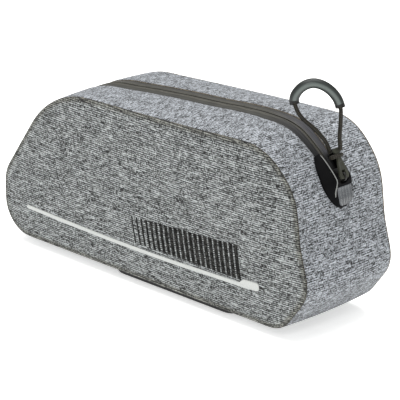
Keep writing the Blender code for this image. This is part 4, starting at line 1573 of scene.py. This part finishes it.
@dataclass
class ZipPull:
    """Slider with its crown, pull tab, knot, cord loop and the curved handle on it."""

    form: BagForm
    slider_last: float
    slider_length: float = 0.0080
    slider_half: float = 0.0038
    slider_low: float = -0.0002
    slider_high: float = 0.0038
    crown_span: float = 0.0042
    crown_rise: float = 0.0042
    crown_radius: float = 0.0006
    tab_origin: tuple[float, float, float] = (0.11339, 0.0, 0.08718)
    tab_way: tuple[float, float, float] = (-0.4210, 0.0, 0.9070)
    tab_length: float = 0.0158
    tab_thickness: float = 0.0012
    eye: tuple[float, float, float] = (0.0008, 0.0034, 0.0012)
    knot_place: float = 0.0116
    knot_half: tuple[float, float] = (0.0034, 0.0021)
    cord_diameter: float = 0.0023
    handle_diameter: float = 0.0053
    handle_bore: float = 0.0032
    handle_points: tuple[int, int] = (5, 11)
    mouth_depth: float = 0.0022
    mouth_lip: float = 0.0004
    mouth_slant: float = 0.0013
    slant_reach: float = 0.0060
    route: tuple = (
        (0.1052, -0.0017, 0.0990), (0.1051, -0.0022, 0.1013), (0.1041, -0.0038, 0.1056),
        (0.1006, -0.0074, 0.1119), (0.0949, -0.0131, 0.1195), (0.0925, -0.0155, 0.1266),
        (0.0927, -0.0153, 0.1316), (0.0956, -0.0124, 0.1363), (0.0996, -0.0084, 0.1379),
        (0.1040, -0.0040, 0.1357), (0.1076, -0.0004, 0.1307), (0.1094, 0.0014, 0.1246),
        (0.1096, 0.0016, 0.1180), (0.1094, 0.0013, 0.1085), (0.1102, 0.0012, 0.1014),
    )
    steps: int = 14
    braid_pitch: float = 0.0034
    braid_height: float = 0.00005
    slider_corner: float = 0.35
    crown_power: float = 0.6
    crown_gap: float = 0.0003
    tab_dish: float = 0.0003
    dish_last: float = 0.0088
    tab_rounding: float = 0.00022
    tab_places: tuple = (-0.8, 0.0, 3.8, 7.4, 9.9, 11.6, 12.9, 13.6, 15.1, 15.8)
    tab_halves: tuple = (2.3, 2.9, 2.8, 2.1, 1.45, 1.3, 1.45, 2.3, 2.3, 1.5)
    sideways: Array = field(
        default_factory=lambda: np.array((1.0, -1.0, 0.0)) / math.sqrt(2.0)
    )
    metal: MouldedPlastic = MouldedPlastic(
        "die cast zinc, painted", colour="0c0c0c", worn="23221f", roughness=0.36, depth=0.05,
        gloss=0.3,
    )
    rubber: MouldedPlastic = MouldedPlastic(
        "moulded tab rubber, olive", colour="1f2019", worn="3d3e34", roughness=0.42, gloss=0.35,
    )
    cord: BraidedCord = BraidedCord("braided polyester cord")
    tube: PaintedLightTube = PaintedLightTube(
        "extruded handle tube, grey green", roughness=0.34, grain_mm=0.6, depth=0.06, gloss=0.3,
    )

    def build(self) -> None:
        """Make the pull from the zip outward, the cord with its knot and handle first."""
        knot = self.build_knot()
        handle = self.build_handle()
        self.build_cord()
        self.build_slider()
        self.build_tab()

    def tab_point(self, along: Array, across: Array, out: Array) -> Array:
        """Points in the tab's own frame: along it, across the bag and out of its face.

        Args:
            along: Distances from the tab's origin.
            across: Places across the bag.
            out: Heights over the tab's middle plane.

        Returns:
            Points in the bag's frame.
        """
        way = np.array(self.tab_way)
        outward = np.array((way[2], 0.0, -way[0]))
        place = np.array(self.tab_origin) + along[..., None] * way + out[..., None] * outward
        place[..., 1] = across
        return place

    def centreline(self) -> Array:
        """The cord's smooth route."""
        return smooth_route(np.array(self.route), self.steps)

    def build_cord(self) -> Piece:
        """Carry a circle along the route, with a braid of crossed sine waves on its radius.


        Returns:
            The cord.
        """
        path = self.centreline()
        along = lengths_along(path)
        sides = 24
        angles = np.linspace(0.0, TURN, sides + 1)
        turns = TURN * along[:, None] / self.braid_pitch
        braid = np.sin(3.0 * angles + turns) * np.sin(3.0 * angles - turns)
        radii = self.cord_diameter / 2 + self.braid_height * (braid - 1.0)
        points = rings_along(path, radii, self.sideways, sides)
        cloth = cloth_of(along[:, None], angles * self.cord_diameter / 2)
        piece = add_piece(
            "braided_loop", [Grid(points, cloth, caps=(0, -1))], [self.cord],
            ("pull_cord",), sharp=70.0,
        )
        return piece

    def build_handle(self) -> Piece:
        """Carry a tube wall along the route's upper stretch.

        The outer skin and the bore close on each other at the mouths. There the bore flares as a
        parabola to a thin lip, and the cut slants: each ring point moves along the tube by the
        cosine of its angle.

        Returns:
            The handle.
        """
        first, last = (index * self.steps for index in self.handle_points)
        path = self.centreline()[first: last + 1]
        sides = 40
        along = lengths_along(path)
        to_end = np.minimum(along, along[-1] - along)
        outer = np.full(len(path), self.handle_diameter / 2)
        flare = np.clip(1.0 - to_end / self.mouth_depth, 0.0, 1.0) ** 2
        widest = self.handle_diameter / 2 - self.mouth_lip
        bore = self.handle_bore / 2 + (widest - self.handle_bore / 2) * flare
        shapes = [rings_along(path, radii, self.sideways, sides) for radii in (outer, bore)]
        angles = np.linspace(0.0, TURN, sides + 1)
        sign = np.where(along < along[-1] / 2, 1.0, -1.0)
        cut = self.mouth_slant * sign * np.clip(1.0 - to_end / self.slant_reach, 0.0, 1.0) ** 2
        slant = (cut[:, None] * np.cos(angles))[..., None] * ways_along(path)[:, None]
        outside, inside = (shape + slant for shape in shapes)
        points = np.concatenate([outside, inside[::-1], outside[:1]])
        depth = np.concatenate([to_end, -to_end[::-1], to_end[:1]])
        girth = angles / (TURN) * self.tube.girth
        cloth = cloth_of(depth[:, None], girth)
        return add_piece(
            "tube_handle", [Grid(points, cloth)], [self.tube], ("pull_handle",)
        )

    def build_knot(self) -> Piece:
        """Loop the cord round the tab's neck as an ellipse.

        Returns:
            The knot.
        """
        sides = 20
        angles = np.linspace(0.0, TURN, 73)
        loop = self.tab_point(
            np.full(73, self.knot_place),
            self.knot_half[0] * np.cos(angles),
            self.knot_half[1] * np.sin(angles),
        )
        way = np.array(self.tab_way)
        ways = ways_along(np.vstack([loop[-2], loop, loop[1]]))[1:-1]
        side = np.cross(ways, way)
        turn = np.linspace(0.0, TURN, sides + 1)
        radius = self.cord_diameter / 2
        spread = radius * (
            np.cos(turn)[None, :, None] * side[:, None]
            + np.sin(turn)[None, :, None] * np.broadcast_to(way, side.shape)[:, None]
        )
        points = loop[:, None] + spread
        along = lengths_along(loop)
        cloth = cloth_of(along[:, None], turn * radius)
        return add_piece(
            "braided_knot", [Grid(points, cloth)], [self.cord], ("cord_knot",),
            sharp=70.0,
        )

    def build_slider(self) -> Piece:
        """Carry a rounded section along the slider, narrowed to the mouth, and add its crown.

        Returns:
            The slider with its crown.
        """
        rows = np.linspace(-1.0, 1.0, 25)
        ends = np.sqrt(np.clip(1.0 - np.abs(rows) ** 6, 0.0, 1.0))
        width = self.slider_half * (0.86 - 0.14 * rows) * (0.75 + 0.25 * ends)
        angles = np.linspace(0.0, TURN, 41)
        wide, tall = (
            np.sign(wave) * np.abs(wave) ** self.slider_corner
            for wave in (np.cos(angles), np.sin(angles))
        )
        middle = (self.slider_low + self.slider_high) / 2
        half = (self.slider_high - self.slider_low) / 2
        across = width[:, None] * wide
        offset = middle + half * (0.55 + 0.45 * ends)[:, None] * tall
        stations = self.slider_last + (rows - 1.0) * self.slider_length / 2
        body = self.form.band_grid(stations[:, None], across, offset, caps=(0, -1))
        crown = self.crown_station()
        arc = np.linspace(0.0, math.pi, 25)
        spread = np.sign(np.cos(arc)) * np.abs(np.cos(arc)) ** self.crown_power
        along = -0.5 * self.crown_span * spread
        rise = self.crown_rise * np.sin(arc) ** self.crown_power
        along = np.concatenate([along[:1], along, along[-1:]])
        rise = np.concatenate([[-2 * self.crown_radius], rise, [-2 * self.crown_radius]])
        origin = self.form.band_point(crown, np.zeros(1), np.full(1, self.slider_high))[0]
        out = self.form.normal(crown)[0]
        outward, upward = np.array((out[0], 0.0, out[1])), np.array((-out[1], 0.0, out[0]))
        path = origin + along[:, None] * upward + rise[:, None] * outward
        points = rings_along(
            path, np.full(len(path), self.crown_radius), np.array((0.0, 1.0, 0.0)), 12
        )
        length = lengths_along(path)
        cloth = cloth_of(length[:, None], np.arange(13) * 0.0003)
        return add_piece(
            "slider_body", [body, Grid(points, cloth, caps=(0, -1))], [self.metal],
            ("zip_slider",),
        )

    def crown_station(self) -> Array:
        """Station of the crown's middle."""
        inset = self.crown_radius + self.crown_gap + self.crown_span / 2
        return np.array([self.slider_last - inset])

    def build_tab(self) -> Piece:
        """Draw the tab's face as a grid with its eye left open, then give it thickness.

        Its half width follows a smooth curve along it: bar, body, neck for the knot, and head.

        Returns:
            The tab.
        """
        low, high, eye_half = self.eye
        places, halves = np.array((self.tab_places, self.tab_halves)) * 0.001
        along = np.concatenate([
            np.linspace(places[0], low, 4)[:-1], np.linspace(low, high, 7)[:-1],
            np.linspace(high, self.tab_length, 44),
        ])
        half = smooth_through(places, halves, along)
        reach = np.minimum(eye_half, 0.5 * half)[:, None]
        inner = np.linspace(-1.0, 1.0, 5) * reach
        shares = np.linspace(0.0, 1.0, 6)[1:]
        outer = reach + (half[:, None] - reach) * shares
        across = np.concatenate([-outer[:, ::-1], inner, outer], axis=1)
        spread = np.broadcast_to(along[:, None], across.shape)
        dish = self.tab_dish * np.clip(1.0 - (across / (0.78 * half[:, None])) ** 4, 0.0, 1.0)
        dish = dish * ((along > high) & (along < self.dish_last))[:, None]
        points = self.tab_point(spread, across, self.tab_thickness / 2 - dish)
        middle = (along[:-1] + along[1:]) / 2
        column = np.arange(across.shape[1] - 1)
        gaps = ((middle > low) & (middle < high))[:, None] & ((column >= 5) & (column < 9))
        grid = Grid(points, np.stack([spread, across], axis=-1), gaps=gaps, flip=False)
        tab = add_piece("rubber_tab", [grid], [self.rubber], ("pull_tab",))
        give_wall(tab, self.tab_thickness)
        round_edges(tab, self.tab_rounding)
        return tab


@dataclass
class BasePlate:
    """Black plate under the case. Its CAD solid has the right shape and takes a finish here."""

    plastic: MouldedPlastic = MouldedPlastic(
        "glass filled polyamide, black", colour="0d0d0e", worn="1a1a1b", roughness=0.52,
        grain_mm=0.8, depth=0.3,
    )

    def build(self) -> None:
        """Put the finish into every material slot of the plate."""
        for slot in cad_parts["base_plate"].material_slots:
            slot.material = self.plastic.material()
        LOG.info("base_plate: dressed")


@dataclass
class Studio:
    """Camera at the photograph's angle, lit white floor, pale surroundings and soft lights."""

    camera_place: tuple[float, float, float] = (0.94391, -0.94534, 0.53780)
    azimuth: float = 44.73
    elevation: float = 20.27
    lens: float = 228.15
    sensor: float = 36.0
    shift_down: float = 0.00225
    floor_half: float = 6.0
    surroundings: str = "ffffff"
    strength: float = 0.56
    sheet: LitSheet = LitSheet("translucent white acrylic")

    def place_camera(self) -> None:
        """Make the camera level and look at the bag."""
        data = bpy.data.cameras.new("camera")
        data.lens = self.lens
        data.sensor_width = self.sensor
        data.shift_y = self.shift_down
        data.clip_end = 50.0
        camera = bpy.data.objects.new("camera", data)
        camera.location = self.camera_place
        camera.rotation_euler = (
            math.radians(90.0 - self.elevation), 0.0, math.radians(self.azimuth)
        )
        bpy.context.scene.collection.objects.link(camera)
        bpy.context.scene.camera = camera

    def lay_floor(self) -> None:
        """Lay the lit sheet flat under the bag."""
        places = np.linspace(-self.floor_half, self.floor_half, 5)
        along, across = np.meshgrid(places, places, indexing="ij")
        points = np.stack([along, across, np.zeros_like(along)], axis=-1)
        mesh = mesh_of("studio_floor", [Grid(points, points[..., :2])])
        mesh.materials.append(self.sheet.material())
        floor = bpy.data.objects.new("studio_floor", mesh)
        bpy.context.scene.collection.objects.link(floor)

    def light(self) -> None:
        """Light the bag from above, with a small box beside the camera."""
        world = bpy.data.worlds.new("pale surroundings")
        world.use_nodes = True
        sky = world.node_tree.nodes["Background"]
        sky.inputs["Color"].default_value = linear(self.surroundings)
        sky.inputs["Strength"].default_value = self.strength
        bpy.context.scene.world = world
        self.add_light("overhead softbox", (-0.10, 0.05, 1.50), 1.6, 31.0)
        self.add_light("small box beside the camera", (0.80, -1.10, 0.95), 0.35, 5.0)

    def add_light(self, name: str, place: tuple, size: float, power: float) -> None:
        """Add a square area light that faces the bag.

        Args:
            name: Name of the light.
            place: Place of its middle.
            size: Length of its side.
            power: Power in watts.
        """
        data = bpy.data.lights.new(name, "AREA")
        data.size = size
        data.energy = power
        light = bpy.data.objects.new(name, data)
        light.location = place
        way = np.array((0.0, 0.0, 0.05)) - np.array(place)
        way /= np.linalg.norm(way)
        light.rotation_euler = (
            math.acos(-way[2]), 0.0, math.atan2(way[0], -way[1]) + math.pi
        )
        bpy.context.scene.collection.objects.link(light)


def main() -> None:
    """Build every piece, the floor and the lights."""
    logging.basicConfig(level=logging.INFO, format="%(name)s: %(message)s")
    bpy.context.scene.view_settings.view_transform = "Standard"
    studio = Studio()
    studio.place_camera()
    form = BagForm()
    dock = ZipDock(form, form.station_at(0.0650, at_head=True) - ZipDock.length)
    slot = ZipSlot(form.station_at(0.068, at_head=False), dock.first)
    ZipPull(form, dock.first + dock.trough_length - dock.clearance).build()
    Zip(form, slot).build()
    dock.build()
    Case(form, slot).build()
    BasePlate().build()
    studio.lay_floor()
    studio.light()


if __name__ == "__main__":
    main()
